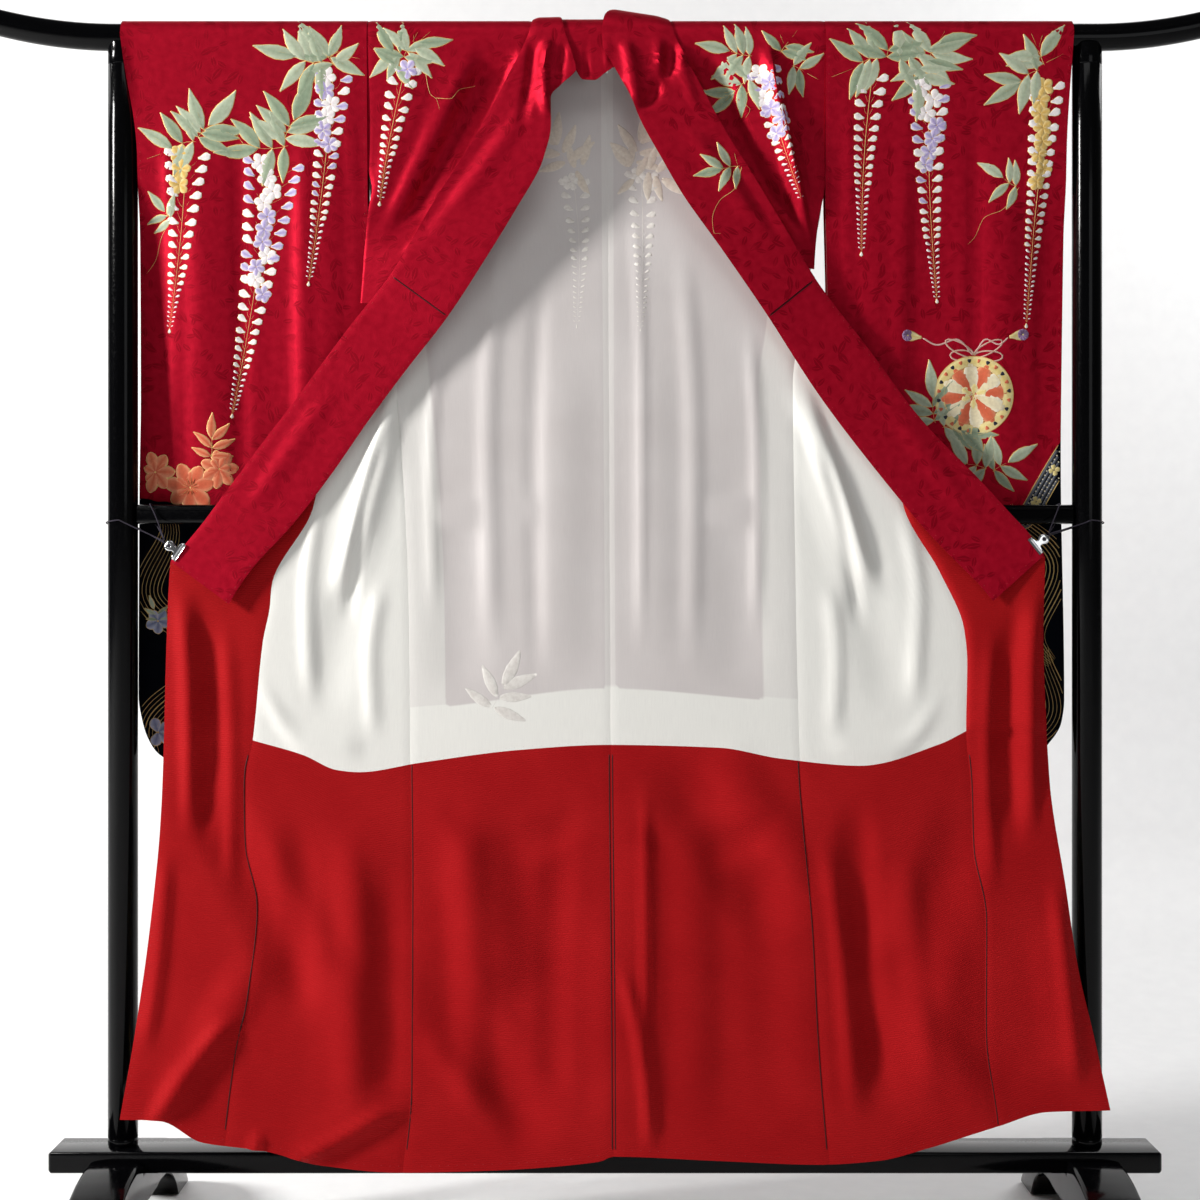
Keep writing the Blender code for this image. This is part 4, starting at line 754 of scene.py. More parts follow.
def add(tree, kind, inputs=None, **settings):
    """One node with its settings, and its inputs set or linked."""
    made = tree.nodes.new(kind)
    for key, value in settings.items():
        setattr(made, key, value)
    for key, value in (inputs or {}).items():
        socket = made.inputs[key]
        if isinstance(value, bpy.types.NodeSocket):
            tree.links.new(value, socket)
        else:
            socket.default_value = value
    return made


def start_material(name, **values):
    """A material with its plain values set, and its tree and shader."""
    made = bpy.data.materials.new(name)
    made.use_nodes = True
    tree = made.node_tree
    shader = tree.nodes["Principled BSDF"]
    for key, value in values.items():
        shader.inputs[key.replace("_", " ")].default_value = value
    return made, tree, shader


def wire(tree, shader, **values):
    """Link outputs to the shader's inputs."""
    for key, value in values.items():
        tree.links.new(value, shader.inputs[key.replace("_", " ")])


def math_node(tree, operation, a, b=0.0, c=0.0, clamp=False):
    return add(tree, "ShaderNodeMath", {0: a, 1: b, 2: c}, operation=operation, use_clamp=clamp).outputs[0]


def blend(tree, factor, a, b, kind="MIX"):
    return add(tree, "ShaderNodeMix", {0: factor, 6: a, 7: b}, data_type="RGBA", blend_type=kind).outputs[2]


def ramp(tree, value, low, high, to_low=0.0, to_high=1.0):
    return add(tree, "ShaderNodeMapRange", {0: value, 1: low, 2: high, 3: to_low, 4: to_high}).outputs[0]


def noise(tree, place, scale, detail):
    return add(tree, "ShaderNodeTexNoise", {"Vector": place, "Scale": scale, "Detail": detail}).outputs[0]


def bands(tree, place, scale, distortion=0.0, way="DIAGONAL", **more):
    inputs = {"Vector": place, "Scale": scale, "Distortion": distortion}
    inputs.update({key.replace("_", " "): value for key, value in more.items()})
    return add(tree, "ShaderNodeTexWave", inputs, bands_direction=way).outputs[1]


def bump(tree, height, distance, strength):
    return add(tree, "ShaderNodeBump", {"Height": height, "Distance": distance, "Strength": strength}).outputs[0]


def object_place(tree):
    return add(tree, "ShaderNodeTexCoord").outputs["Object"]


def carried(tree, name, output="Fac"):
    """A value or colour that the mesh carries."""
    return add(tree, "ShaderNodeAttribute", attribute_name=name).outputs[output]


def cloth_place(tree):
    return add(tree, "ShaderNodeUVMap", uv_map="cloth").outputs[0]


def figured_leaves(tree, place, spacing, length, width, turn):
    """Small scattered leaves of a figured silk, 1 on a leaf."""
    cells = add(tree, "ShaderNodeTexVoronoi", {"Vector": place, "Scale": 1 / spacing, "Randomness": 0.75},
                voronoi_dimensions="2D")
    away = add(tree, "ShaderNodeVectorMath", {0: place, 1: cells.outputs["Position"]}, operation="SUBTRACT")
    tone = add(tree, "ShaderNodeSeparateColor", {0: cells.outputs["Color"]})
    angle = math_node(tree, "MULTIPLY_ADD", tone.outputs[0], 6.283, turn)
    turned = add(tree, "ShaderNodeVectorRotate", {"Vector": away.outputs[0], "Angle": angle},
                 rotation_type="Z_AXIS")
    axes = add(tree, "ShaderNodeSeparateXYZ", {0: turned.outputs[0]})
    along = math_node(tree, "DIVIDE", axes.outputs[0], length)
    bulge = math_node(tree, "SUBTRACT", 1.0, math_node(tree, "MULTIPLY", along, along))
    edge = math_node(tree, "SUBTRACT", math_node(tree, "MULTIPLY", bulge, width),
                     math_node(tree, "ABSOLUTE", axes.outputs[1]))
    leaf = ramp(tree, edge, 0.0, 0.0006)
    vein = ramp(tree, math_node(tree, "ABSOLUTE", axes.outputs[1]), 0.0002, 0.0006)
    return math_node(tree, "MULTIPLY", leaf, vein)


def thread_bump(tree, place, height, other):
    """Threads of a plain weave, and the height of another pattern, as a bump."""
    warp, weft = bands(tree, place, 260.0, 0.6, "X"), bands(tree, place, 210.0, 0.6, "Y")
    total = math_node(tree, "MULTIPLY", math_node(tree, "ADD", warp, weft), height)
    return bump(tree, math_node(tree, "ADD", total, other), 0.0004, 0.5)


def make_satin(name, has_ground):
    """Crimson figured silk satin, with a black dyed ground where the cloth has one."""
    glow = linear("#F0304A")
    made, tree, shader = start_material(name, Metallic=0.40, Sheen_Weight=0.04, Sheen_Roughness=0.35,
                                        Specular_IOR_Level=0.30, Sheen_Tint=linear("#E0203A"),
                                        Specular_Tint=glow)
    place = cloth_place(tree)
    small = figured_leaves(tree, place, 0.021, 0.0085, 0.0036, 0.4)
    large = figured_leaves(tree, place, 0.034, 0.0120, 0.0046, 2.1)
    patches = noise(tree, place, 14.0, 2.0)
    leaves = math_node(tree, "MULTIPLY", math_node(tree, "MAXIMUM", small, large), ramp(tree, patches, 0.40, 0.55))
    cloudy = ramp(tree, noise(tree, place, 90.0, 4.0), 0.3, 0.7)
    base = blend(tree, cloudy, linear("#9C0C22"), linear("#AE1229"))
    base = blend(tree, math_node(tree, "MULTIPLY", leaves, 0.62), base, linear("#740414"))
    if has_ground:
        rag = math_node(tree, "MULTIPLY_ADD", patches, 0.05, -0.025)
        dark = ramp(tree, math_node(tree, "ADD", carried(tree, "ground"), rag), -0.0006, 0.0006)
        base = blend(tree, dark, base, linear("#04050A"))
        wire(tree, shader, Specular_Tint=blend(tree, dark, glow, linear("#5A6072")),
             Sheen_Weight=ramp(tree, dark, 0.0, 1.0, 0.04, 0.0))
    wire(tree, shader, Base_Color=base, Roughness=ramp(tree, leaves, 0.0, 1.0, 0.40, 0.55),
         Normal=thread_bump(tree, place, 0.35, math_node(tree, "MULTIPLY", leaves, 0.4)))
    return made


def make_white():
    """White silk lining: brighter where the cloth behind it is double."""
    made, tree, shader = start_material("white silk lining", Metallic=0.10, Roughness=0.42,
                                        Sheen_Weight=0.05, Sheen_Roughness=0.3)
    place = cloth_place(tree)
    double = ramp(tree, carried(tree, "layer"), -0.0012, 0.0012)
    cloudy = ramp(tree, noise(tree, place, 5.0, 3.0), 0.35, 0.65)
    base = blend(tree, double, blend(tree, cloudy, linear("#D3CCCA"), linear("#DCD6D4")), linear("#F3F2EC"))
    drawn = add(tree, "ShaderNodeVectorMath", {0: place, 1: (900.0, 40.0, 1.0)}, operation="MULTIPLY")
    slub = noise(tree, drawn.outputs[0], 1.0, 2.0)
    wire(tree, shader, Base_Color=blend(tree, ramp(tree, slub, 0.3, 0.8, 0.0, 0.10), base, linear("#A9A2A6")),
         Normal=thread_bump(tree, place, 0.3, math_node(tree, "MULTIPLY", slub, 0.3)))
    return made


def make_crepe():
    """Red silk crepe of the hem lining, with its fine wavy ripple and painted shade in the ripple's troughs."""
    made, tree, shader = start_material("red silk crepe", Roughness=0.60, Sheen_Weight=0.08,
                                        Sheen_Roughness=0.4, Specular_IOR_Level=0.15,
                                        Sheen_Tint=linear("#E02A2A"), Specular_Tint=linear("#F03A38"))
    place = cloth_place(tree)
    ripple = bands(tree, place, 105.0, 5.0, "Y", Detail=2.0, Detail_Scale=1.6, Detail_Roughness=0.45)
    grain, cloudy = noise(tree, place, 700.0, 2.0), noise(tree, place, 8.0, 3.0)
    base = blend(tree, ramp(tree, cloudy, 0.3, 0.7), linear("#9C1519"), linear("#AA1B1E"))
    height = math_node(tree, "ADD", math_node(tree, "MULTIPLY", ripple, 0.9), math_node(tree, "MULTIPLY", grain, 0.5))
    # The ripple's troughs are darkened in the colour: painted shade
    wire(tree, shader, Base_Color=blend(tree, ramp(tree, ripple, 0.0, 0.5, 0.30, 0.0), base, linear("#850D11")),
         Normal=bump(tree, height, 0.0005, 0.6))
    return made


def make_dyes():
    """Dyed motifs and the painted seam shadows: their colours come with the mesh, a little uneven as brushed dye is."""
    made, tree, shader = start_material("dyed silk and painted seam shade", Roughness=0.50, Specular_IOR_Level=0.25)
    brush = noise(tree, object_place(tree), 220.0, 3.0)
    uneven = ramp(tree, brush, 0.35, 0.75, 0.0, 0.30)
    wire(tree, shader, Normal=bump(tree, brush, 0.0003, 0.4),
         Base_Color=blend(tree, uneven, carried(tree, "tint", "Color"), (0.45, 0.38, 0.36, 1.0), "MULTIPLY"))
    return made


def make_gold():
    """Gold thread and gold leaf along the outlines."""
    made, tree, shader = start_material("gold thread", Metallic=0.30)
    twist = bands(tree, object_place(tree), 700.0, 1.0)
    wire(tree, shader, Base_Color=blend(tree, twist, linear("#D6A855"), linear("#F4DA95")),
         Roughness=ramp(tree, twist, 0.0, 1.0, 0.52, 0.34), Normal=bump(tree, twist, 0.0003, 0.5))
    return made


def make_lacquer():
    """Black lacquer over wood, with a faint wave and a little dust in its gloss."""
    made, tree, shader = start_material("black lacquer", Specular_IOR_Level=0.14)
    where = object_place(tree)
    dust = noise(tree, where, 380.0, 5.0)
    dusty = ramp(tree, dust, 0.60, 0.80, 0.0, 0.25)
    wire(tree, shader, Base_Color=blend(tree, dusty, linear("#030304"), linear("#151416")),
         Roughness=ramp(tree, dust, 0.4, 0.8, 0.09, 0.26),
         Normal=bump(tree, noise(tree, where, 9.0, 2.0), 0.0015, 0.25))
    return made


def make_chrome():
    """Bright chromed spring steel of the clips, with fine scratches."""
    made, tree, shader = start_material("chromed steel", Metallic=1.0)
    scratch = noise(tree, object_place(tree), 900.0, 3.0)
    wire(tree, shader, Base_Color=blend(tree, scratch, linear("#D9DBDE"), linear("#F4F5F6")),
         Roughness=ramp(tree, scratch, 0.3, 0.8, 0.10, 0.26))
    return made


def make_elastic():
    """Braided black elastic cord with a violet cast."""
    made, tree, shader = start_material("braided elastic", Roughness=0.75)
    braid = bands(tree, object_place(tree), 420.0, 2.0)
    wire(tree, shader, Base_Color=blend(tree, braid, linear("#0D0A12"), linear("#2C2038")),
         Normal=bump(tree, braid, 0.0004, 0.7))
    return made


def make_thread(name, dark, light):
    """Twisted sewing thread."""
    made, tree, shader = start_material(name, Roughness=0.55)
    twist = bands(tree, object_place(tree), 500.0)
    wire(tree, shader, Base_Color=blend(tree, twist, linear(dark), linear(light)))
    return made


CRIMSON = make_satin("crimson figured silk", True)
COLLAR_SATIN = make_satin("crimson collar silk", False)
WHITE = make_white()
CREPE = make_crepe()
DYES_AND_SEAM_SHADE = make_dyes()
GOLD = make_gold()
LACQUER = make_lacquer()
CHROME = make_chrome()
ELASTIC = make_elastic()
RED_THREAD = make_thread("red thread", "#7A0A12", "#C22430")
WHITE_THREAD = make_thread("white thread", "#BFBBB4", "#F1EFEA")


# Cloth pieces

def double_layer(side, points):
    """Distance into the places where the cloth behind the white lining is folded double."""
    x, z = points[..., 0], points[..., 2]
    below = double_line(x) - z
    allowance = SIDE_ALLOWANCE - np.abs(x - line_at[side]["side"](z))
    centre = CENTRE_ALLOWANCE - np.abs(x - line_at[side]["centre"](z))
    return np.maximum(np.maximum(below, np.minimum(allowance, 0.0004)), np.minimum(centre, -0.0004))


def dark_ground(points):
    """Distance below the edge of the black ground of the outer cloth."""
    x, z = points[..., 0], points[..., 2]
    return GROUND_HEM + GROUND_WAVE * np.sin(x * GROUND_TURN + 1.0) - z


def shoulder_grid(side):
    """Front of the shoulder, from the rail down to the tip of its fold, running on under the collar."""
    z = spaced(RAIL_HEIGHT, SHOULDER_TIP[side], ROW_STEP)[1:, None]
    u = np.linspace(0, 1, BACK_COLUMNS + 1)[None, :]
    seam, fold = line_at[side]["collar_seam"](z), line_at[side]["shoulder_fold"](z)
    under = -SIGN[side] * SHOULDER_UNDER * smooth((RAIL_HEIGHT - z) / 0.06)
    x = mix(seam + under, fold, u)
    z = z + 0 * u
    share = np.clip((x - seam) / (fold - seam), 0, 1)
    hidden = np.clip((x - seam) / (under + 1e-6 * np.sign(seam - fold)), 0, 1)
    y = shoulder_depth(x, z, share, smooth(1 - hidden)) + SHOULDER_BEHIND * smooth(hidden)
    points = np.stack((x, y, z), -1)
    return points, facing(points, TO_VIEWER)


def shoulder_depth(x, z, u, shown):
    y = mix(shoulder_seam_hang(z), shoulder_fold_hang(z), u)
    edge = smooth(u / 0.06) * smooth((1 - u) / 0.2)
    held = smooth((RAIL_HEIGHT - z) / 0.05)
    return y - fold_rise(SHOULDER_FOLDS, x, z) * edge - crease_rise(SHOULDER_CREASES, x, z) * held * shown


def make_back(side):
    edge, neck = neck_edge(side)
    lower = body_grid(side, spaced(HEM_LEVEL, BOUNDARY_LEVEL, ROW_STEP), "centre", "side", BACK_COLUMNS)
    upper = body_grid(side, spaced(BOUNDARY_LEVEL, UPPER_TOP, ROW_STEP), edge, "side", BACK_COLUMNS)
    over = rail_rows(neck, line_x(side, "side", RAIL_HEIGHT), BACK_COLUMNS, WRAP_ANGLES[1:], BODY_RADIUS)
    whole = stack((lower[0][:-1], lower[1][:-1]), upper, over, shoulder_grid(side))
    back = shell("back_cloth_" + side, whole, *OUTER_SKIN, CRIMSON, {"ground": dark_ground(whole[0])})
    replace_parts(back, "back_" + side)
    body_flowers(side, back)
    white = stack(upper, [part[:LINING_WRAP_ROWS] for part in over])
    lining = shell("back_lining_" + side, white, *LINING_SKIN, WHITE, {"layer": double_layer(side, white[0])})
    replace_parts(lining, "lining_back_" + side)
    ends = [line_x(side, name, BOUNDARY_LEVEL) for name in ("centre", "side")]
    row = across_stitches("stitches_lining_" + side, lining, ends, boundary_height, SEAM_STITCH, WHITE_STITCHES,
                          "lining")
    seen_through(side, lining)
    red = shell("back_hem_" + side, lower, *LINING_SKIN, CREPE)
    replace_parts(red, "hem_back_" + side)
    # Painted shadows along the panel's two seams, then a row of real stitches
    seam_shadows_and_stitches = [hem_seam_shadow("seam_shadow_hem_" + line + "_" + side, side, line, SEAM_START, sign * SEAM_INSET, red)
             for line, sign in (("side", -SIGN[side]), ("centre", SIGN[side]))]
    inner = np.linspace(*ends, STITCH_POINTS)[[1, -2]]
    seam_shadows_and_stitches.append(hem_stitches("stitches_hem_" + side, red, inner))


def across_stitches(name, cloth, ends, height, above, trees, seed):
    """A row of stitches across a panel, a little above a line of its."""
    x = np.linspace(*ends, STITCH_POINTS)[1:-1]
    return stitches(name, [np.stack((x, height(x) + above), -1)], cloth, trees, STITCHES_SEED[seed])


def hem_stitches(name, red, ends):
    """A row of stitches just above the hem of one lining panel."""
    return across_stitches(name, red, ends, hem_height, 2 * HEM_STITCH, RED_STITCHES, "hem")


def hem_seam_shadow(name, side, line, start, inset, red):
    """The painted seam shadow of a red lining panel: a dark line from near the hem up to the white lining."""
    return seam_shadow_line(name, panel_seam(side, line, HEM_LEVEL + start, BOUNDARY_LEVEL, inset), "seam shadow red", red)


def make_front(side):
    upper, lower = (body_grid(side, spaced(*levels, ROW_STEP), "side", "front_seam", FRONT_COLUMNS)
                    for levels in ((FRONT_FIRST_LEVEL[side], BOUNDARY_LEVEL), (BOUNDARY_LEVEL, HEM_LEVEL)))
    whole = stack(upper, (lower[0][1:], lower[1][1:]))
    front = shell("front_cloth_" + side, whole, *OUTER_SKIN, CRIMSON, {"ground": dark_ground(whole[0])})
    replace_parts(front, "front_" + side)
    outer_hem_ground(side, "front", front, "side", "front_seam")
    # The whole front lining takes the brighter white of the lining's double places
    lining = shell("front_lining_" + side, upper, *LINING_SKIN, WHITE, {"layer": np.ones(upper[0].shape[:2])})
    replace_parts(lining, "lining_front_" + side)
    red = shell("front_hem_" + side, lower, *LINING_SKIN, CREPE)
    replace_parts(red, "hem_front_" + side)
    ends = [line_x(side, name, HEM_LEVEL + SEAM_START) for name in ("side", "front_seam")]
    row = hem_stitches("stitches_hem_front_" + side, red, ends)


def make_okumi(side):
    levels = np.concatenate((spaced(OKUMI_FIRST_LEVEL[side], BOUNDARY_LEVEL, ROW_STEP),
                             spaced(BOUNDARY_LEVEL, HEM_LEVEL, ROW_STEP)[1:]))
    whole = body_grid(side, levels, "front_seam", "rim", OKUMI_COLUMNS)
    okumi = shell("okumi_cloth_" + side, whole, *OUTER_SKIN, CRIMSON, {"ground": dark_ground(whole[0])})
    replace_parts(okumi, "okumi_" + side)
    outer_hem_ground(side, "okumi", okumi, "front_seam", "rim")
    red = shell("okumi_hem_" + side, whole, *LINING_SKIN, CREPE)
    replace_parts(red, "hem_okumi_" + side)
    ends = [line_x(side, name, HEM_LEVEL + OKUMI_SEAM_START) for name in ("front_seam", "rim")]
    z = np.linspace(OKUMI_FIRST_LEVEL[side] - 0.30, HEM_LEVEL + 0.09, 60)
    rim = np.stack((line_at[side]["rim"](z) - SIGN[side] * HEM_STITCH, z), -1)
    # The last of these is a painted shadow along the front seam
    rows = [hem_stitches("stitches_hem_okumi_" + side, red, ends),
            stitches("stitches_rim_" + side, [rim], red, RED_STITCHES, STITCHES_SEED["hem"]),
            hem_seam_shadow("seam_shadow_okumi_" + side, side, "front_seam", OKUMI_SEAM_START, SIGN[side] * SEAM_INSET, red)]


def sleeve_depths(u, x, z):
    """Front and back depth of the sleeve, drawn together at its sewn edges."""
    front, back = sleeve_front_hang(z), sleeve_back_hang(z)
    middle, half = (front + back) / 2, (back - front) / 2
    rise = SLEEVE_FOLD_DEPTH * fold_rise(SLEEVE_FOLDS, x, z)
    edge = smooth(u / 0.15) * smooth((1 - u) / 0.15)
    outer_close = smooth((CUFF_BOTTOM - z) / CUFF_BLEND + 1 / 3) * smooth((u - 1) / SLEEVE_EDGE_SHARE + 1)
    close = np.maximum(outer_close, smooth((SLEEVE_BOTTOM - z) / SLEEVE_ROUND + 1))
    half = mix(half, SLEEVE_SEAM, close)
    near_rail = smooth((np.abs(z - MID_RAIL_HEIGHT) - MID_RAIL_CLEAR) / MID_RAIL_CLEAR)
    free = edge * (1 - close)
    crease = SLEEVE_CREASE_DEPTH * crease_rise(SLEEVE_CREASES, x, z) * free * smooth((RAIL_HEIGHT - z) / 0.05)
    forward = np.maximum(0, rise) * near_rail * free
    backward = np.minimum(0, rise) * free
    room = POST_CLEAR ** 2 - (np.abs(x) - POST_X) ** 2
    round_post = np.where((room > 0) & (z > CUFF_BOTTOM), np.sqrt(np.maximum(room, 0)), 0.0)
    near = middle - half - forward - 0.5 * backward * near_rail - crease * near_rail
    far = middle + half - backward + 0.6 * np.abs(crease)
    near = np.where(round_post > 0, np.minimum(near, -round_post), near)
    far = np.where(round_post > 0, np.maximum(far, round_post), far)
    return near, far


def make_sleeve(side):
    """A sleeve: one length folded over the rail, sewn along its outer and lower edges."""
    low, high = SLEEVE_SKIN
    levels = np.concatenate((spaced(RAIL_HEIGHT, SLEEVE_CURVE_TOP, ROW_STEP),
                             spaced(SLEEVE_CURVE_TOP, SLEEVE_BOTTOM, SLEEVE_CURVE_STEP)[1:]))
    z = levels[:, None]
    u = np.linspace(0, 1, SLEEVE_COLUMNS + 1)[None, :]
    inset = SEAM_GAP / 2 * SIGN[side]
    x = mix(line_at[side]["sleeve_in"](z) + inset, line_at[side]["sleeve_out"](z), u)
    z = z + 0 * u
    front, back = (np.stack((x, depth, z), -1) for depth in sleeve_depths(u, x, z))
    over, turned = rail_rows(line_x(side, "sleeve_in", RAIL_HEIGHT) + inset, line_x(side, "sleeve_out", RAIL_HEIGHT),
                             SLEEVE_COLUMNS, WRAP_ANGLES[::-1][1:-1], BODY_RADIUS)
    points = np.concatenate((front[::-1], over, back))
    out = np.concatenate((facing(front, TO_VIEWER), turned, facing(back, TO_REAR)))
    outer, inner = points + out * high, points + out * low
    rows, last = len(points) - 1, SLEEVE_COLUMNS
    closed = int(np.sum(levels <= CUFF_BOTTOM))
    lower = list(range(closed + 1)) + list(range(rows - closed, rows + 1))
    inner[(0, -1), :, 2] -= low
    inner[lower, -1, 0] += SIGN[side] * low
    a = np.arange(points.shape[0] * points.shape[1]).reshape(rows + 1, last + 1)
    b = a + a.size
    faces = [grid_faces(rows + 1, last + 1), grid_faces(rows + 1, last + 1, a.size, True),
             np.stack((a[1:, 0], a[:-1, 0], b[:-1, 0], b[1:, 0]), -1)]
    cuff_a, cuff_b = (grid[closed:rows - closed + 1, last] for grid in (a, b))
    faces.append(np.stack((cuff_a[:-1], cuff_a[1:], cuff_b[1:], cuff_b[:-1]), -1))
    for grid, turn in ((a, 1), (b, -1)):
        edges = (grid[:closed + 1, last], grid[rows - closed:, last][::-1]), (grid[0], grid[rows])
        for first, second in edges:
            faces.append(np.stack((first[:-1], first[1:], second[1:], second[:-1]), -1)[:, ::turn])
    faces.append(np.array([[a[closed, last], b[closed, last], b[rows - closed, last], a[rows - closed, last]],
                           [a[0, 0], a[rows, 0], b[rows, 0], b[0, 0]]]))
    faces = np.concatenate(faces)[:, ::-SIGN[side]]
    name = "sleeve_cloth_" + side
    mesh = mesh_from(name, np.concatenate((outer.reshape(-1, 3), inner.reshape(-1, 3))), faces,
                     np.tile(measure(points).reshape(-1, 2), (2, 1)),
                     colors={"ground": np.tile(sleeve_ground(points).reshape(-1), 2)})
    mesh.set_sharp_from_angle(angle=CLOTH_SHARP)
    sleeve = link(name, mesh, CRIMSON)
    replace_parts(sleeve, "sleeve_" + side)
    sleeve_flowers(side, sleeve)


def sleeve_ground(points):
    x, z = points[..., 0], points[..., 2]
    corner = np.where(x > 0, 1.5 * np.maximum(0.0, x - 0.592), 0.0)
    return SLEEVE_GROUND + 0.012 * np.sin(np.abs(x) * 23.0) + 0.25 * (np.abs(x) - 0.6) + corner - z


def collar_wrap(side):
    """Seam, free edge and rise of the free edge of a collar over the rail, by angle."""
    return [curve_through([(row[0], row[k]) for row in COLLAR_WRAP[side]]) for k in (1, 2, 3)]


def collar_lines(side):
    """Seam and free edge of a collar run as curves over a row count, the rail being row 0."""
    near, far, _ = (float(line(0)) for line in collar_wrap(side))
    rows = [(near, RAIL_HEIGHT, far, RAIL_HEIGHT)] + list(COLLAR_ROWS[side])
    return [curve_through([(i, row[k]) for i, row in enumerate(rows)]) for k in range(4)]


def collar_close(u):
    """How far a collar sinks towards its seam."""
    return COLLAR_CLOSE * (1 - smooth(u / 0.22))


def collar_points(side, t, u):
    """Points of a collar run below the rail, with its creases."""
    seam_x, seam_z, free_x, free_z = collar_lines(side)
    x, z = mix(seam_x(t), free_x(t), u), mix(seam_z(t), free_z(t), u)
    lift = COLLAR_LIFT * smooth((RAIL_HEIGHT - seam_z(t)) / 0.2) + COLLAR_SLOPE * np.clip(t, 0, 1)
    edge_rise = float(collar_wrap(side)[2](0))
    y = collar_hang(seam_z(t)) - lift * u + (collar_close(u) - edge_rise * u) * (1 - smooth(t / 1.2))
    held = smooth((RAIL_HEIGHT - z) / 0.03)
    return np.stack((x, y - crease_rise(COLLAR_CREASES, x, z) * held, z), -1)


def collar_grid(side, last):
    u = np.linspace(0, 1, COLLAR_COLUMNS + 1)[None, :]
    near, far, rise = collar_wrap(side)
    degrees = WRAP_ANGLES[:, None]
    radius = (BAND_RADIUS + rise(degrees) * u - collar_close(u))[..., None]
    wrap, out = rail_rows(near(degrees), far(degrees), COLLAR_COLUMNS, WRAP_ANGLES, radius)
    front = collar_points(side, spaced(0, last, COLLAR_STEP)[1:, None] + 0 * u, u)
    return hung_behind(wrap, out, front)


def hung_behind(wrap, out, front):
    """A collar's grid: its end behind the rail, its turn over the rail and its front."""
    rear = wrap[:1] - np.array((0, 0, RAIL_HEIGHT - COLLAR_REAR_END))
    return np.concatenate((rear, wrap, front)), np.concatenate((out[:1], out, facing(front, TO_VIEWER)))


def across_band(row, k):
    """A point across one row of a collar run."""
    return mix(row[0], row[2], k), mix(row[1], row[3], k)


def make_collar(side):
    rows = COLLAR_ROWS[side]
    band = shell("collar_cloth_" + side, collar_grid(side, len(rows)), *COLLAR_SKIN, COLLAR_SATIN)
    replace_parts(band, "collar_" + side)
    # A painted shadow along the end seam of the overlay collar
    line = [across_band(rows[OVERLAY_LAST_ROW], k) - np.array((0, OVERLAY_SEAM_DROP))
            for k in np.linspace(0.03, 0.97, 8)]
    seam = seam_shadow_line("seam_shadow_overlay_" + side, line, "seam shadow crimson", band, 0.0030)
    paths = [[across_band(row, share) for row in rows[OVERLAY_LAST_ROW:]] for share in (0.045, 0.955)]
    end = mix(np.array(rows[-1]), np.array(rows[-2]), 0.16)
    paths.append([across_band(end, k) for k in np.linspace(0.06, 0.94, 12)])
    edge = stitches("stitches_collar_" + side, paths, band, RED_STITCHES, STITCHES_SEED["collar"])
    over = shell("overlay_cloth_" + side, collar_grid(side, OVERLAY_LAST_ROW + 1), *OVERLAY_SKIN, COLLAR_SATIN)
    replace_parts(over, "overlay_" + side)
    pieces = [lay("flowers_overlay_" + side, flowers(MOTIFS["collar_right"], random.Random("collar")), over)
              ] if side == "right" else []


def make_back_collar():
    """Back-neck run of the collar, folded forward over the rail with a scalloped edge."""
    columns = 40
    x = np.linspace(NECK_DROP[0][0], NECK_DROP[-1][0], columns + 1)[None, :]
    over, out = rail_rows(x[0, 0], x[0, -1], columns, WRAP_ANGLES, NECK_RADIUS)
    share = np.linspace(0, 1, 12)[1:, None]
    z = mix(RAIL_HEIGHT, neck_drop(x), share)
    x = x + 0 * z
    front = np.stack((x, -NECK_RADIUS - crease_rise(COLLAR_CREASES, x, z) * share, z), -1)
    piece = shell("collar_cloth_back", hung_behind(over, out, front), *BACK_COLLAR_SKIN, COLLAR_SATIN)
    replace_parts(piece, "collar_back")


# Dyed and stitched motifs, and painted seam shadows: strokes are (points, lift, tint, slot), drawn by rule in metres

# Slot of the dye material, which also carries the painted seam shadows
DYE_AND_SHADE_SLOT = 0
GOLD_SLOT = 1
SUNK = -0.00020
STEEPEST = 0.22
# Lift of the painted seam shadows over the cloth
SEAM_SHADOW_LIFT = 0.00045
SEAM_INSET = 0.0022
RAY_SHIFT = 1.7e-6
OUTLINE_LIFT = 0.00022
FILL_LIFT = 0.00040
LIFT_STEP = 0.000012
LIFT_STEPS = 16
OUTLINE = 0.0013
VEIN_LIFT = 0.00020
BAND_HALF = 0.014
BAND_ORDER = 7
BAND_STRIPS = 5
BAND_LIFT = 0.00035
BAND_POINTS = 90
BAND_DOT_STEP = 0.0066
CENTRE_LIFT = 0.0003
STAMENS = 13
STAMENS_FROM = 0.0300
STAMEN_LIFT = 0.0012
STREAM_POINTS = 27
ROUNDEL_PETALS = 12
ROUNDEL_DOTS = 24
ROUNDEL_POINTS = 72
THROUGH_RELIEF = 0.35
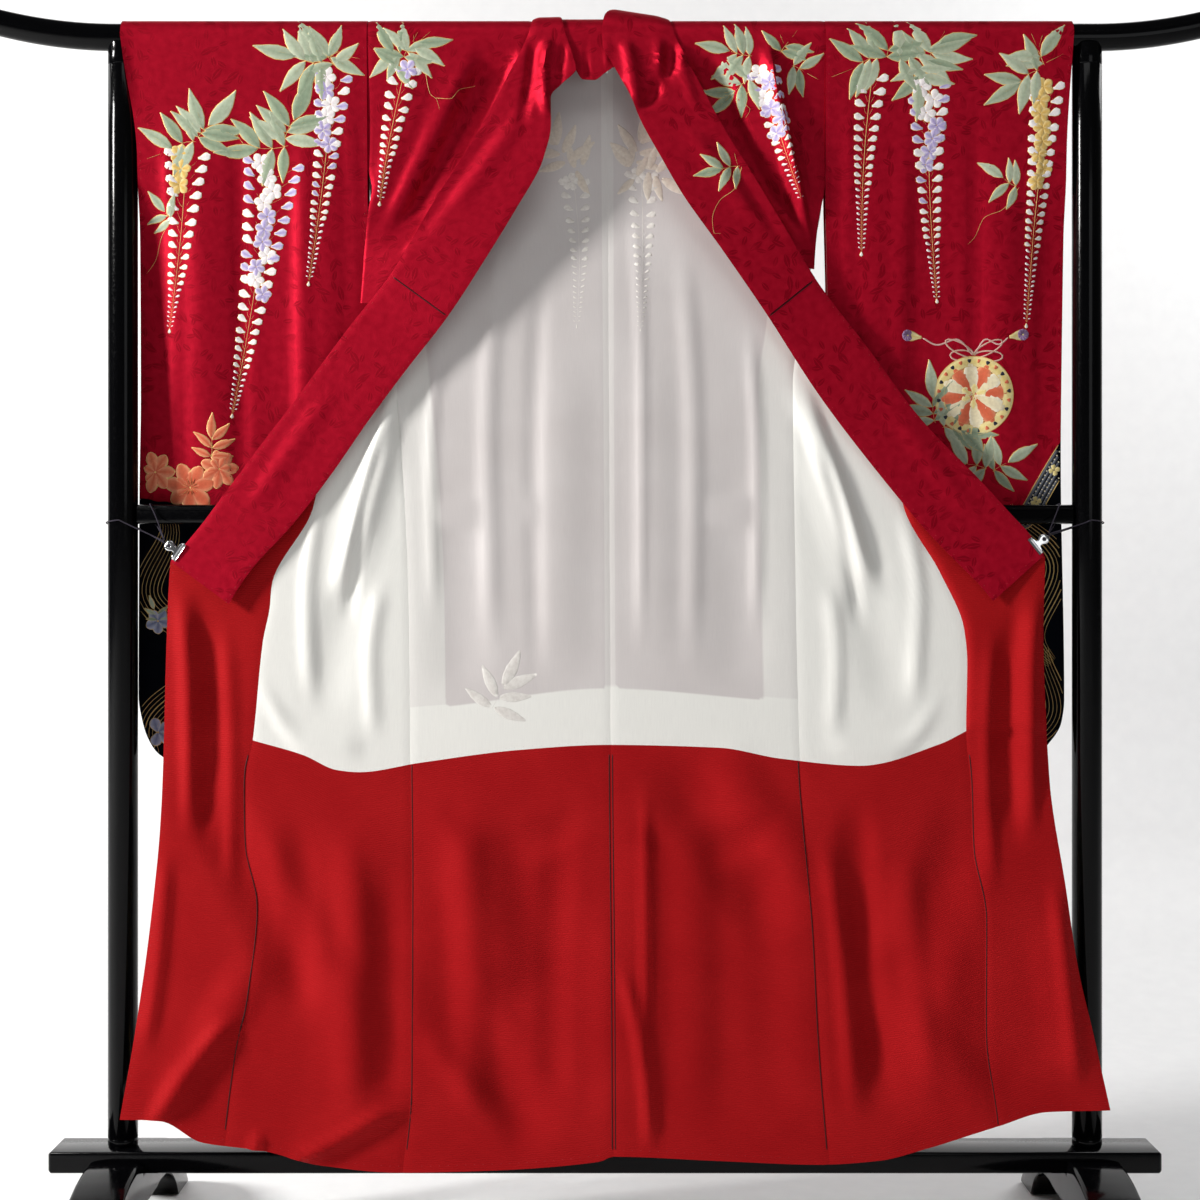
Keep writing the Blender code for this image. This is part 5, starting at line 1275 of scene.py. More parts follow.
# Tints as (at the base, at the tip, at the edges)
TINTS = {
    "sage": ("#84937C", "#A4B298", "#B9C2A8"),
    "sage deep": ("#748670", "#94A58A", "#A9B699"),
    "sage pale": ("#98A68E", "#B6C2A8", "#C6CDB4"),
    "white": ("#E9DCE2", "#F6F1EE", "#FBF8F4"),
    "lilac": ("#8C7CBE", "#BDB0DC", "#E6DCEC"),
    "gold": ("#D6A545", "#E9C673", "#F0D797"),
    "straw": ("#E3CB7C", "#EBD891", "#F3E7B5"),
    "ink": ("#1B1D2A", "#2A2C3C", "#3A3C4E"),
    "stem": ("#D08A2C", "#DE9E3E", "#E6B25A"),
    "coral": ("#C2452C", "#E0734F", "#E99A74"),
    "slate": ("#525B7E", "#868FB4", "#B8BED6"),
    "mauve": ("#5A4266", "#8E6E98", "#B99CC0"),
    "rose": ("#B98C8E", "#D4ACA6", "#E4C8BA"),
    "silver": ("#4B4E57", "#5C606A", "#6E727C"),
    "ivory": ("#D9C79A", "#F2E8C8", "#F7F1DC"),
    # Painted seam shadows: dark tints standing in for the shade along seams
    "seam shadow red": ("#3A0508", "#3A0508", "#5A090D"),
    "seam shadow crimson": ("#2E030B", "#2E030B", "#4A0513"),
    "seam shadow white": ("#B4AFAC", "#B4AFAC", "#CBC7C3"),
    "shadow": ("#E4D8C8", "#EADFD0", "#E6DDD2"),
    "shadow light": ("#EFEAE2", "#F4F0EA", "#ECE8E2"),
    "shadow faint": ("#DFDBD5", "#E2DED9", "#E3E0DB"),
}
COLUMN_SHARES = {3: (-1.0, 0.0, 1.0), 5: (-1.0, -0.80, 0.0, 0.80, 1.0), 7: (-1.0, -0.86, -0.45, 0.0, 0.45, 0.86, 1.0)}
RIMMED_SHARES = {5: (-1.0, -1.0, 0.0, 1.0, 1.0), 7: (-1.0, -1.0, -0.5, 0.0, 0.5, 1.0, 1.0)}
# Columns of a strip that also carry its underside
UNDER = {3: (), 5: (2,), 7: (2, 3, 4)}
UNDER_DEPTH = 0.00030
RIMMED = 2
LEAF_ROWS = (0, 0.10, 0.26, 0.46, 0.66, 0.85, 1)
PETAL_ROWS = (0, 0.16, 0.42, 0.66, 0.86, 1)
BROAD = 0.0200
NARROW = 0.0060


def rgb(hex_color):
    return np.array(linear(hex_color)[:3])


def ribbon(spine, half, columns, tints, slot, lift, outline=0.0):
    """A stroke, petal or leaf: a crowned strip, its rim sunk into the cloth and gold where outlined."""
    spine, half = np.asarray(spine, float), np.asarray(half, float)
    shares = np.array((RIMMED_SHARES if outline else COLUMN_SHARES)[columns])
    offsets = half[:, None] * shares
    offsets[:, 0] -= outline
    offsets[:, -1] += outline
    points = spine[:, None] + sideways(spine)[:, None] * offsets[..., None]
    lifts = lift + 0 * offsets
    if outline:
        lifts[:, (1, -2)] -= FILL_LIFT - OUTLINE_LIFT
    lifts[:, (0, -1)] = lifts[0] = lifts[-1] = SUNK / 2 if outline else SUNK
    base, tip, edge = (rgb(color) for color in TINTS[tints])
    s = np.linspace(0, 1, len(spine))[:, None, None]
    tint = mix(mix(base, tip, s), edge, (np.abs(shares) ** 3)[None, :, None])
    return points, lifts, tint, RIMMED if outline else slot


def petal_half(s, width, kind):
    """Half width along a petal or leaf."""
    if kind == "leaf":
        return width / 2 * np.sin(np.pi * s ** 0.78) ** 1.10
    if kind == "round":
        return width / 2 * np.sin(np.pi * np.clip(0.10 + 0.86 * s, 0, 1) ** 1.5) ** 0.7
    return width / 2 * (0.22 + 0.78 * smooth(s / 0.62)) * np.sqrt(1 - np.clip((s - 0.62) / 0.38, 0, 1) ** 3)


def shape(base, angle, length, width, tint, kind="petal", bend=0.0, outline=OUTLINE, order=0):
    """A petal or leaf with its gold outline, from its base along an angle in degrees."""
    columns = 7 if width > BROAD else 5 if outline or width > NARROW else 3
    rows = np.array(LEAF_ROWS if kind == "leaf" or columns == 7 else PETAL_ROWS)
    half = np.maximum(petal_half(rows, width, kind), 0.00025)
    if outline:
        rows = np.concatenate(((-outline / length,), rows, (1 + outline / length,)))
        half = np.concatenate(((0.0002,), half, (0.0002,)))
    heading = math.radians(angle) + bend * (rows - 0.5)
    middle = (heading[1:] + heading[:-1]) / 2
    steps = toward(middle) * (np.diff(rows)[:, None] * length)
    spine = np.concatenate((np.zeros((1, 2)), np.cumsum(steps, 0))) + np.asarray(base)
    return [ribbon(spine, half, columns, tint, DYE_AND_SHADE_SLOT, FILL_LIFT + LIFT_STEP * (order % LIFT_STEPS), outline)]


def stroke(path, width, tint="gold", slot=GOLD_SLOT, taper=True, rows=None, lift=FILL_LIFT):
    """A line of gold or dye through points as (x, height)."""
    path = np.asarray(path, float)
    share = run_length(path)
    t = np.linspace(0, share[-1], rows or max(4, int(share[-1] / PATH_STEP)))
    spine = np.stack([curve_through(list(zip(share, path[:, k])))(t) for k in (0, 1)], -1)
    half = width / 2 * (1 - 0.6 * t / share[-1] if taper else 1 + 0 * t)
    return [ribbon(spine, half, 3, tint, slot, lift)]


def spray(x, z, angle, length, leaves, size, tint, draw, outline=OUTLINE):
    """A leaf stem with leaflets in pairs and one at its tip."""
    length, size = 0.72 * length, 1.28 * size
    bend = draw.uniform(-0.5, 0.5)
    turn = math.radians(angle)

    def along(s):
        return np.array((x, z)) + length * s * toward(turn + bend * s)

    strokes = stroke([along(s) for s in (0, 0.33, 0.66, 1)], 0.0012, "gold" if outline else tint,
                     GOLD_SLOT if outline else DYE_AND_SHADE_SLOT)
    for i in range(leaves):
        last = i == leaves - 1
        s = 1.0 if last else 0.15 + 0.80 * (i // 2) / max(1, (leaves - 1) // 2)
        lean = 0 if last else (1 if i % 2 else -1) * (84 - 42 * s + draw.uniform(-9, 9))
        long = size * (1.05 if last else 0.86 + 0.14 * s + draw.uniform(-0.08, 0.06))
        pick = tint if tint != "sage" else draw.choice(("sage", "sage pale", "sage deep"))
        order = draw.randrange(LIFT_STEPS)
        heading = angle + math.degrees(bend * s) + lean
        strokes += shape(along(s), heading, long, long * draw.uniform(0.30, 0.34), pick, "leaf",
                         draw.uniform(-0.35, 0.35), outline, order)
        if outline:
            start = along(s)
            end = start + 0.72 * long * toward(math.radians(heading))
            strokes += stroke([start, (start + end) / 2, end], 0.0007, "gold", DYE_AND_SHADE_SLOT, rows=3,
                              lift=FILL_LIFT + order * LIFT_STEP + VEIN_LIFT)
    return strokes


def blossom(x, z, radius, tint, draw, petals=5, outline=OUTLINE, centre="gold"):
    """An open flower with round petals and a small centre."""
    strokes, middle = [], np.array((x, z))
    first = draw.uniform(0, 360)
    order = draw.randrange(LIFT_STEPS)
    for i in range(petals):
        angle = first + 360 * i / petals + draw.uniform(-5, 5)
        strokes += shape(middle, angle, radius * draw.uniform(0.92, 1.05), radius * 4.2 / petals, tint, "round",
                         outline=outline, order=order + i)
    if radius > STAMENS_FROM:
        for i in range(STAMENS):
            turn = math.tau * (i + draw.uniform(-0.2, 0.2)) / STAMENS
            end = middle + radius * draw.uniform(0.42, 0.56) * toward(turn)
            strokes += stroke([middle, end], 0.0007, rows=3, lift=FILL_LIFT + STAMEN_LIFT)
            strokes += shape(end, math.degrees(turn), 0.0024, 0.0020, "gold", "round", outline=0.0)
    for i in range(petals):
        turn = math.radians(first + 360 * (i + 0.5) / petals)
        for share, lean in ((0.50, 0.0), (0.40, 0.30), (0.40, -0.30)):
            strokes += stroke([middle, middle + radius * share * toward(turn + lean)], 0.0008, centre, DYE_AND_SHADE_SLOT,
                              rows=2, lift=FILL_LIFT + CENTRE_LIFT)
    return strokes


def raceme(x, z, foot_x, foot_z, width, bloom, kind, draw, shade=None):
    """A hanging wisteria flower: paired petals down its stem and open blossoms near its top."""
    outline = 0.0 if shade else 0.0008
    thread = {"tint": shade or "stem", "slot": DYE_AND_SHADE_SLOT if shade else GOLD_SLOT}
    top, foot = np.array((x, z)), np.array((foot_x, foot_z))
    length = float(np.linalg.norm(foot - top))
    way = (foot - top) / length
    side = np.array((-way[1], way[0]))
    bow = draw.uniform(-0.03, 0.03) * length

    def stem(t):
        return top + (foot - top) * t + side * bow * math.sin(math.pi * t)

    strokes = stroke([stem(t) for t in np.linspace(0, 1, 6)], 0.0015, **thread)
    heading = math.degrees(math.atan2(way[1], way[0]))
    gone, order = 0.010, 0
    while gone < length:
        t = gone / length
        reach = mix(width / 2, 0.0050, t ** 0.85)
        long = min(0.0175, 0.80 * reach)
        step = max(0.0064, long * 1.06)
        for sign in (-1, 1):
            lean = heading + sign * draw.uniform(106, 122)
            outwards = sign * side * max(0.0010, reach - long)
            base = stem(t) + outwards - way * 0.10 * long
            low = stem(min(1, t + 0.85 * step / length))
            tint = shade or ("lilac" if kind == "lilac" and draw.random() < 1.1 * (1 - t) ** 2 else "white")
            strokes += shape(base, lean, long, long * 0.62, tint, outline=outline if long > 0.0088 else 0.0,
                             order=order, bend=sign * 0.5)
            inner = base + 0.25 * long * toward(math.radians(lean))
            strokes += stroke([low, (low + inner) / 2 + outwards * 0.15, inner], 0.0008, rows=3, lift=OUTLINE_LIFT,
                              **thread)
            order += 1
        gone += step
    strokes += shape(stem(1.0), heading, 0.0060, 0.0040, shade or "white", outline=outline, order=order)
    count = int(bloom * length / 0.017)
    for i in range(count):
        t = 0.02 + bloom * i / max(1, count)
        spread = width * 0.20 * (1 - 0.6 * t)
        place = stem(t) + side * draw.uniform(-spread, spread)
        tint = shade or ("gold" if kind == "gold" else "lilac" if draw.random() < 0.6 else "white")
        strokes += blossom(*place, mix(0.0135, 0.0095, t), tint, draw, 5, outline, shade or "ivory")
    return strokes


def roundel(x, z, radius, draw):
    """A plain flower roundel: twelve petals in a dotted border, with a bow and two tasselled cords."""
    middle = np.array((x, z))

    def circle(share, half, columns, tint, slot, lift):
        turns = np.linspace(0, math.tau * 1.02, ROUNDEL_POINTS)
        return [ribbon(middle + radius * share * toward(turns), np.full(ROUNDEL_POINTS, half), columns, tint,
                       slot, lift)]

    strokes = circle(0.86, radius * 0.14, 5, "straw", DYE_AND_SHADE_SLOT, FILL_LIFT)
    for i in range(ROUNDEL_PETALS):
        strokes += shape(middle, 360 / ROUNDEL_PETALS * i + 7, radius * 0.80, radius * 0.40,
                         ("coral", "ivory")[i % 2], "round", order=i)
    for share in (0.99, 0.75):
        strokes += circle(share, 0.0010, 3, "gold", GOLD_SLOT, FILL_LIFT + LIFT_STEP * LIFT_STEPS)
    for i in range(ROUNDEL_DOTS):
        turn = math.tau * (i + 0.5) / ROUNDEL_DOTS
        strokes += shape(middle + radius * 0.82 * toward(turn), math.degrees(turn), 0.0070, 0.0066,
                         ("ink", "coral")[i % 2], outline=0.0, order=14)
    strokes += blossom(x, z, radius * 0.30, "straw", draw, 6, centre="coral")
    knot = middle + (0, radius)
    t = np.linspace(0, math.tau, 15)[:, None]
    for angle, long in ((152, 0.046), (28, 0.044), (-2, 0.040), (178, 0.034)):
        way = toward(math.radians(angle))
        loop = knot + long / 2 * (1 - np.cos(t)) * way + 0.0075 * np.sin(t) * np.array((-way[1], way[0]))
        strokes += stroke(loop, 0.0032, "rose", DYE_AND_SHADE_SLOT, False)
        strokes += stroke(loop, 0.0009, taper=False, lift=FILL_LIFT + VEIN_LIFT)
    for lean, rise in ((-0.074, 0.026), (0.048, 0.026)):
        end = knot + (lean, rise)
        cord = [knot, knot + (lean * 0.35, rise * 0.9), knot + (lean * 0.7, rise * 0.6), end]
        strokes += stroke(cord, 0.0034, "rose", DYE_AND_SHADE_SLOT, False)
        turn = math.atan2(0.35 * rise, lean)
        strokes += shape(end, math.degrees(turn), 0.024, 0.013, "straw", order=3)
        for k in range(9):
            strokes += shape(end + 0.021 * toward(turn), math.degrees(turn) + 40 * (k - 4), 0.0085, 0.0070, "mauve",
                             "round", outline=0.0, order=5 + k)
    return strokes


def stream(start, end, lines, sway, gap, phase, draw, turns=1.0):
    """Flowing water: gold lines side by side along a swaying path, swelling in its middle."""
    start, end = np.array(start), np.array(end)
    t = np.linspace(0, 1, STREAM_POINTS)
    along = (end - start) / np.linalg.norm(end - start)
    across = np.array((-along[1], along[0]))
    centre = start + (end - start) * t[:, None] + across * (sway * np.sin(math.tau * turns * t + phase))[:, None]
    side = sideways(centre)
    strokes = []
    for k in range(lines):
        swell = (k - (lines - 1) / 2) * gap * (0.35 + 0.65 * np.sin(math.pi * t) ** 0.7)
        half = draw.choice((0.0005, 0.0006, 0.0007, 0.0012)) * (0.35 + 0.65 * np.sin(math.pi * t))
        strokes.append(ribbon(centre + side * swell[:, None], half, 3, "gold", GOLD_SLOT, FILL_LIFT))
    return strokes


def scatter(box, count, tints, radius, draw):
    """Blossoms with a few leaves strewn over a box, kept apart from each other."""
    x0, z0, x1, z1 = box
    strokes, placed = [], []
    for _ in range(count * 12):
        place = (draw.uniform(x0, x1), draw.uniform(z0, z1))
        size = radius * draw.uniform(0.65, 1.15)
        if len(placed) == count:
            break
        if all(math.dist(place, other[:2]) > (size + other[2]) * 0.95 for other in placed):
            placed.append((*place, size))
    for x, z, size in placed:
        if draw.random() < 0.6:
            strokes += spray(x, z, draw.uniform(0, 360), size * 1.5, 5, size * 0.9, "sage", draw)
        strokes += blossom(x, z, size, draw.choice(tints), draw)
        if size > radius * 0.9:
            strokes += blossom(x, z, size * 0.5, "ivory", draw)
    return strokes


def solid_faces(rows, columns, slot):
    """Triangles of a strip closed below and at its ends, and their material slots."""
    under = len(UNDER[columns])
    low = np.empty((rows, under + 2), int)
    low[:, 0] = np.arange(rows) * columns
    low[:, -1] = low[:, 0] + columns - 1
    low[:, 1:-1] = rows * columns + np.arange(rows * under).reshape(rows, under)
    top = grid_faces(rows, columns)
    bottom = np.stack((low[:-1, :-1], low[:-1, 1:], low[1:, 1:], low[1:, :-1]), -1).reshape(-1, 4)
    caps = []
    for row, turn in ((0, 1), (rows - 1, -1)):
        rim = [row * columns + j for j in range(columns)] + list(low[row, 1:-1][::-1])
        caps += [(rim[0], *rim[k:k + 2][::turn]) for k in range(1, len(rim) - 1)]
    gold = np.full((rows - 1, columns - 1), GOLD_SLOT if slot == RIMMED else slot)
    if slot == RIMMED:
        gold[1:-1, 1:-1] = DYE_AND_SHADE_SLOT
    kinds = np.concatenate((gold.reshape(-1), np.full(len(bottom), DYE_AND_SHADE_SLOT)))
    quads = np.concatenate((top, bottom))
    return (np.concatenate((quads[:, (0, 1, 2)], quads[:, (0, 2, 3)], np.array(caps))),
            np.concatenate((kinds, kinds, np.full(len(caps), DYE_AND_SHADE_SLOT))))


def finder(cloth, from_front):
    """A function that finds the depth of a finished piece of cloth at (x, height), None off its face."""
    mesh = cloth.data
    tree = BVHTree.FromPolygons([v.co for v in mesh.vertices], [p.vertices[:] for p in mesh.polygons])
    way = 1.0 if from_front else -1.0

    def depth(x, z):
        hit, normal = tree.ray_cast((x + RAY_SHIFT, -way, z + RAY_SHIFT), (0, way, 0))[:2]
        return None if hit is None or -way * normal.y < STEEPEST else hit.y

    return depth, way


def lay(name, strokes, cloth, from_front=True, relief=1.0, cut=False):
    """Strokes laid on a finished piece of cloth as closed low reliefs. What would pass its edge is
    left out whole, or cut there."""
    depth, way = finder(cloth, from_front)
    points, faces, tints, slots, count = [], [], [], [], 0
    for flat, lifts, tint, slot in strokes:
        lifts = np.where(lifts > 0, lifts * relief, lifts)
        columns = lifts.shape[1]
        runs = [[]]
        for row in range(len(flat)):
            placed = []
            for (x, z), lift in zip(flat[row], lifts[row]):
                y = depth(x, z)
                if y is None:
                    break
                placed.append((x, y - way * lift, z))
            if len(placed) == columns:
                runs[-1].append((row, placed))
            elif runs[-1]:
                runs.append([])
        for run in runs:
            if len(run) < 2 or (len(run) < len(flat) and not cut):
                continue
            made, kinds = solid_faces(len(run), columns, slot)
            for row, placed in run:
                points.extend(placed)
                tints.append(tint[row])
            for row, placed in run:
                for k in UNDER[columns]:
                    x, y, z = placed[k]
                    points.append((x, y + way * (lifts[row, k] + UNDER_DEPTH), z))
                    tints.append(tint[row, k][None])
            faces.append(made + count)
            slots.append(kinds)
            count += len(run) * (columns + len(UNDER[columns]))
    faces = np.concatenate(faces)
    made = mesh_from(name, points, faces if from_front else faces[:, ::-1], slots=np.concatenate(slots),
                     colors={"tint": np.concatenate(tints)})
    return link(name, made, DYES_AND_SEAM_SHADE, GOLD)


# Flowers of each piece. A raceme is (x, height, foot x, foot height, width, share in bloom, kind),
# a spray is (x, height, angle, stem, leaves, leaf size) and a tendril is its points
MOTIFS = {
    "sleeve_left": {
        "racemes": ((-0.588, 1.532, -0.617, 1.285, 0.070, 0.26, "gold"),
                    (-0.466, 1.520, -0.529, 1.165, 0.092, 0.55, "lilac"),
                    (-0.382, 1.640, -0.418, 1.350, 0.058, 0.38, "lilac")),
        "sprays": ((-0.574, 1.545, 172, 0.052, 6, 0.042), (-0.574, 1.548, 62, 0.034, 7, 0.046),
                   (-0.445, 1.540, 196, 0.060, 6, 0.046), (-0.452, 1.545, 78, 0.046, 7, 0.048),
                   (-0.392, 1.655, 192, 0.058, 7, 0.046), (-0.388, 1.660, 55, 0.030, 6, 0.044),
                   (-0.380, 1.650, 120, 0.040, 5, 0.040), (-0.612, 1.437, 150, 0.020, 5, 0.026)),
        "tendrils": (((-0.612, 1.437), (-0.628, 1.412), (-0.636, 1.382), (-0.650, 1.362)),
                     ((-0.545, 1.545), (-0.522, 1.556), (-0.505, 1.540), (-0.486, 1.552), (-0.460, 1.556))),
    },
    "shoulder_left": {
        "racemes": ((-0.280, 1.650, -0.317, 1.462, 0.052, 0.10, "white"),),
        "sprays": ((-0.285, 1.668, 168, 0.030, 5, 0.040), (-0.280, 1.668, 20, 0.034, 6, 0.040),
                   (-0.283, 1.660, 80, 0.030, 5, 0.040), (-0.292, 1.655, 222, 0.026, 4, 0.034)),
        "tendrils": (((-0.252, 1.640), (-0.246, 1.612), (-0.237, 1.604), (-0.232, 1.588)),
                     ((-0.240, 1.606), (-0.218, 1.604), (-0.204, 1.618), (-0.182, 1.626))),
    },
    "shoulder_right": {
        "racemes": ((0.222, 1.645, 0.276, 1.462, 0.054, 0.55, "lilac"),),
        "sprays": ((0.208, 1.664, 178, 0.046, 7, 0.036), (0.206, 1.634, 206, 0.042, 6, 0.036),
                   (0.246, 1.668, 60, 0.030, 5, 0.034), (0.262, 1.652, -20, 0.030, 5, 0.034)),
        "tendrils": (((0.205, 1.622), (0.196, 1.600), (0.204, 1.590), (0.196, 1.576)),),
    },
    "collar_right": {
        "racemes": (),
        "sprays": ((0.190, 1.508, 176, 0.036, 6, 0.030),),
        "tendrils": (((0.192, 1.508), (0.182, 1.476), (0.160, 1.458), (0.150, 1.432), (0.153, 1.412),
                      (0.163, 1.412)),),
    },
    "sleeve_right": {
        "racemes": ((0.376, 1.640, 0.362, 1.392, 0.050, 0.06, "white"),
                    (0.456, 1.628, 0.470, 1.327, 0.066, 0.42, "lilac"),
                    (0.622, 1.628, 0.597, 1.292, 0.054, 0.45, "gold")),
        "sprays": ((0.388, 1.662, 176, 0.052, 7, 0.044), (0.396, 1.660, 92, 0.030, 6, 0.046),
                   (0.408, 1.660, 12, 0.064, 7, 0.046), (0.450, 1.655, 55, 0.040, 6, 0.046),
                   (0.440, 1.650, -70, 0.030, 5, 0.040), (0.612, 1.645, 186, 0.044, 6, 0.044),
                   (0.618, 1.650, 112, 0.036, 6, 0.046), (0.582, 1.482, 168, 0.034, 5, 0.030),
                   (0.470, 1.150, 108, 0.050, 7, 0.040), (0.478, 1.145, 20, 0.040, 6, 0.038),
                   (0.545, 1.085, 150, 0.044, 6, 0.040), (0.550, 1.082, 40, 0.036, 5, 0.036)),
        "tendrils": (((0.584, 1.482), (0.560, 1.450), (0.536, 1.440), (0.522, 1.412), (0.512, 1.402)),),
    },
    "back_left": {
        "racemes": ((-0.290, 1.610, -0.272, 1.330, 0.066, 0.40, "lilac"),
                    (-0.205, 1.650, -0.200, 1.420, 0.052, 0.10, "white"),
                    (-0.110, 1.600, -0.122, 1.300, 0.070, 0.45, "gold")),
        "sprays": ((-0.285, 1.628, 60, 0.050, 7, 0.046), (-0.280, 1.628, 190, 0.030, 6, 0.042),
                   (-0.205, 1.660, 150, 0.040, 6, 0.044), (-0.200, 1.660, 20, 0.044, 7, 0.044),
                   (-0.115, 1.615, 70, 0.050, 7, 0.046), (-0.120, 1.612, 200, 0.040, 6, 0.042)),
        "tendrils": (((-0.160, 1.600), (-0.148, 1.560), (-0.160, 1.530), (-0.150, 1.500)),),
    },
    "back_right": {
        "racemes": ((0.075, 1.640, 0.062, 1.360, 0.064, 0.40, "lilac"),
                    (0.165, 1.600, 0.176, 1.260, 0.076, 0.50, "gold"),
                    (0.255, 1.650, 0.262, 1.400, 0.054, 0.10, "white")),
        "sprays": ((0.078, 1.652, 30, 0.046, 7, 0.044), (0.072, 1.650, 160, 0.030, 5, 0.040),
                   (0.168, 1.618, 80, 0.050, 7, 0.046), (0.160, 1.612, 190, 0.044, 6, 0.044),
                   (0.255, 1.662, 150, 0.044, 6, 0.044), (0.262, 1.662, 60, 0.026, 5, 0.040)),
        "tendrils": (((0.210, 1.560), (0.224, 1.530), (0.212, 1.500), (0.226, 1.470)),),
    },
}
# What shows faintly through the lining
SHOW_THROUGH = {
    "racemes": ((-0.045, 1.500, -0.040, 1.290, 0.052, 0.10, "white"),
                (0.052, 1.510, 0.050, 1.285, 0.056, 0.10, "white")),
    "sprays": ((-0.052, 1.520, 120, 0.044, 6, 0.044), (-0.045, 1.512, 20, 0.034, 5, 0.040),
               (0.040, 1.520, 60, 0.044, 6, 0.044), (0.060, 1.512, -10, 0.030, 5, 0.040),
               (0.045, 1.500, 150, 0.026, 4, 0.036)),
}
LOW_SHOW_THROUGH = (((-0.160, 0.745, 60, 0.050, 6, 0.046), (0.450, 0.800, 120, 0.060, 7, 0.046),
                     (-0.425, 0.830, 70, 0.055, 7, 0.046)))


def flowers(rows, draw, shade=None, leaf_shade="sage"):
    """The strokes of one piece's flowers: leaves first, then racemes over them."""
    strokes = []
    for row in rows["sprays"]:
        strokes += spray(*row, leaf_shade, draw, 0.0 if shade else OUTLINE)
    for row in rows["racemes"]:
        strokes += raceme(*row, draw, shade)
    for path in rows.get("tendrils", ()):
        strokes += stroke(path, 0.0012)
    return strokes


def seen_through(side, lining):
    """What the thin lining lets through of the flowers behind it."""
    draw = random.Random("lining " + side)
    strokes = flowers(SHOW_THROUGH, draw, "shadow light", "shadow")
    for row in LOW_SHOW_THROUGH:
        strokes += spray(*row, "shadow faint", draw, 0.0)
    return lay("flowers_through_lining_" + side, strokes, lining, relief=THROUGH_RELIEF)


def seam_shadow_line(name, path, tint, cloth, width=0.0026):
    """Painted shadow: a dark strip laid along a sewn seam, standing in for the shade in its crease."""
    return lay(name, stroke(path, width, tint, DYE_AND_SHADE_SLOT, False, lift=SEAM_SHADOW_LIFT), cloth, cut=True)


def panel_seam(side, line, z0, z1, inset):
    """Points down a panel's seam, just inside its edge."""
    return [(line_x(side, line, z) + inset, z) for z in np.linspace(z0, z1, 24)]


def stitch_tree(material):
    """Even stitches along a line: short rounded bars a little uneven in length."""
    tree = bpy.data.node_groups.new("stitches", "GeometryNodeTree")
    names = {}
    for name, kind in (("Line", "Geometry"), ("Spacing", "Float"), ("Length", "Float"), ("Thickness", "Float"),
                       ("Seed", "Int")):
        names[name] = tree.interface.new_socket(name=name, in_out="INPUT", socket_type="NodeSocket" + kind).identifier
    tree.interface.new_socket(name="Stitches", in_out="OUTPUT", socket_type="NodeSocketGeometry")
    given = tree.nodes.new("NodeGroupInput").outputs
    curve = add(tree, "GeometryNodeMeshToCurve", {"Mesh": given["Line"]})
    places = add(tree, "GeometryNodeResampleCurve", {"Curve": curve.outputs[0], "Length": given["Spacing"]},
                 mode="LENGTH")
    tangent = add(tree, "GeometryNodeInputTangent")
    turn = add(tree, "FunctionNodeAlignRotationToVector", {"Vector": tangent.outputs[0]}, axis="X")
    uneven = add(tree, "FunctionNodeRandomValue", {"Min": 0.8, "Max": 1.15, "Seed": given["Seed"]},
                 data_type="FLOAT")
    uneven = next(out for out in uneven.outputs if out.enabled)
    size = add(tree, "ShaderNodeCombineXYZ", {0: math_node(tree, "MULTIPLY", given["Length"], uneven),
                                              1: given["Thickness"], 2: given["Thickness"]})
    bar = add(tree, "GeometryNodeMeshUVSphere", {"Segments": 6, "Rings": 4, "Radius": 0.5})
    bars = add(tree, "GeometryNodeInstanceOnPoints", {"Points": places.outputs[0], "Instance": bar.outputs[0],
                                                      "Rotation": turn.outputs[0], "Scale": size.outputs[0]})
    real = add(tree, "GeometryNodeRealizeInstances", {0: bars.outputs[0]})
    dyed = add(tree, "GeometryNodeSetMaterial", {"Geometry": real.outputs[0]})
    dyed.inputs["Material"].default_value = material
    tree.links.new(dyed.outputs[0], tree.nodes.new("NodeGroupOutput").inputs[0])
    return tree, names


def stitches(name, paths, cloth, trees, seed, from_front=True):
    """Rows of stitches along paths of (x, height), laid on a finished piece of cloth."""
    depth = finder(cloth, from_front)[0]
    points, edges = [], []
    for path in paths:
        path = np.asarray(path, float)
        share = run_length(path)
        t = np.linspace(0, share[-1], max(4, int(share[-1] / PATH_STEP)))
        joined = False
        for x, z in zip(np.interp(t, share, path[:, 0]), np.interp(t, share, path[:, 1])):
            y = depth(x, z)
            if y is not None:
                points.append((x, y, z))
                if joined:
                    edges.append((len(points) - 2, len(points) - 1))
            joined = y is not None
    line = bpy.data.meshes.new(name)
    line.from_pydata(points, edges, [])
    item = place_object(name, line)
    group, names = trees
    made = item.modifiers.new("stitches", "NODES")
    made.node_group = group
    for key, value in (("Spacing", STITCH_SPACING), ("Length", STITCH_LENGTH), ("Thickness", STITCH_THICKNESS),
                       ("Seed", seed)):
        made[names[key]] = value
    plain = applied(item)
    bpy.data.objects.remove(item)
    plain.name = name
    thread = next(material for material in plain.materials if material)
    plain.materials.clear()
    plain.polygons.foreach_set("material_index", np.zeros(len(plain.polygons), np.int32))
    return link(name, plain, thread)


GROUND_TINTS = {"left": ("slate", "slate", "slate", "mauve", "ivory"),
                "right": ("slate", "mauve", "gold", "slate", "coral")}
# Coral blossoms low on the left sleeve, as (x, height, radius)
CORAL_BLOSSOMS = ((-0.640, 1.082, 0.027), (-0.590, 1.060, 0.034), (-0.548, 1.086, 0.025), (-0.500, 1.058, 0.026))


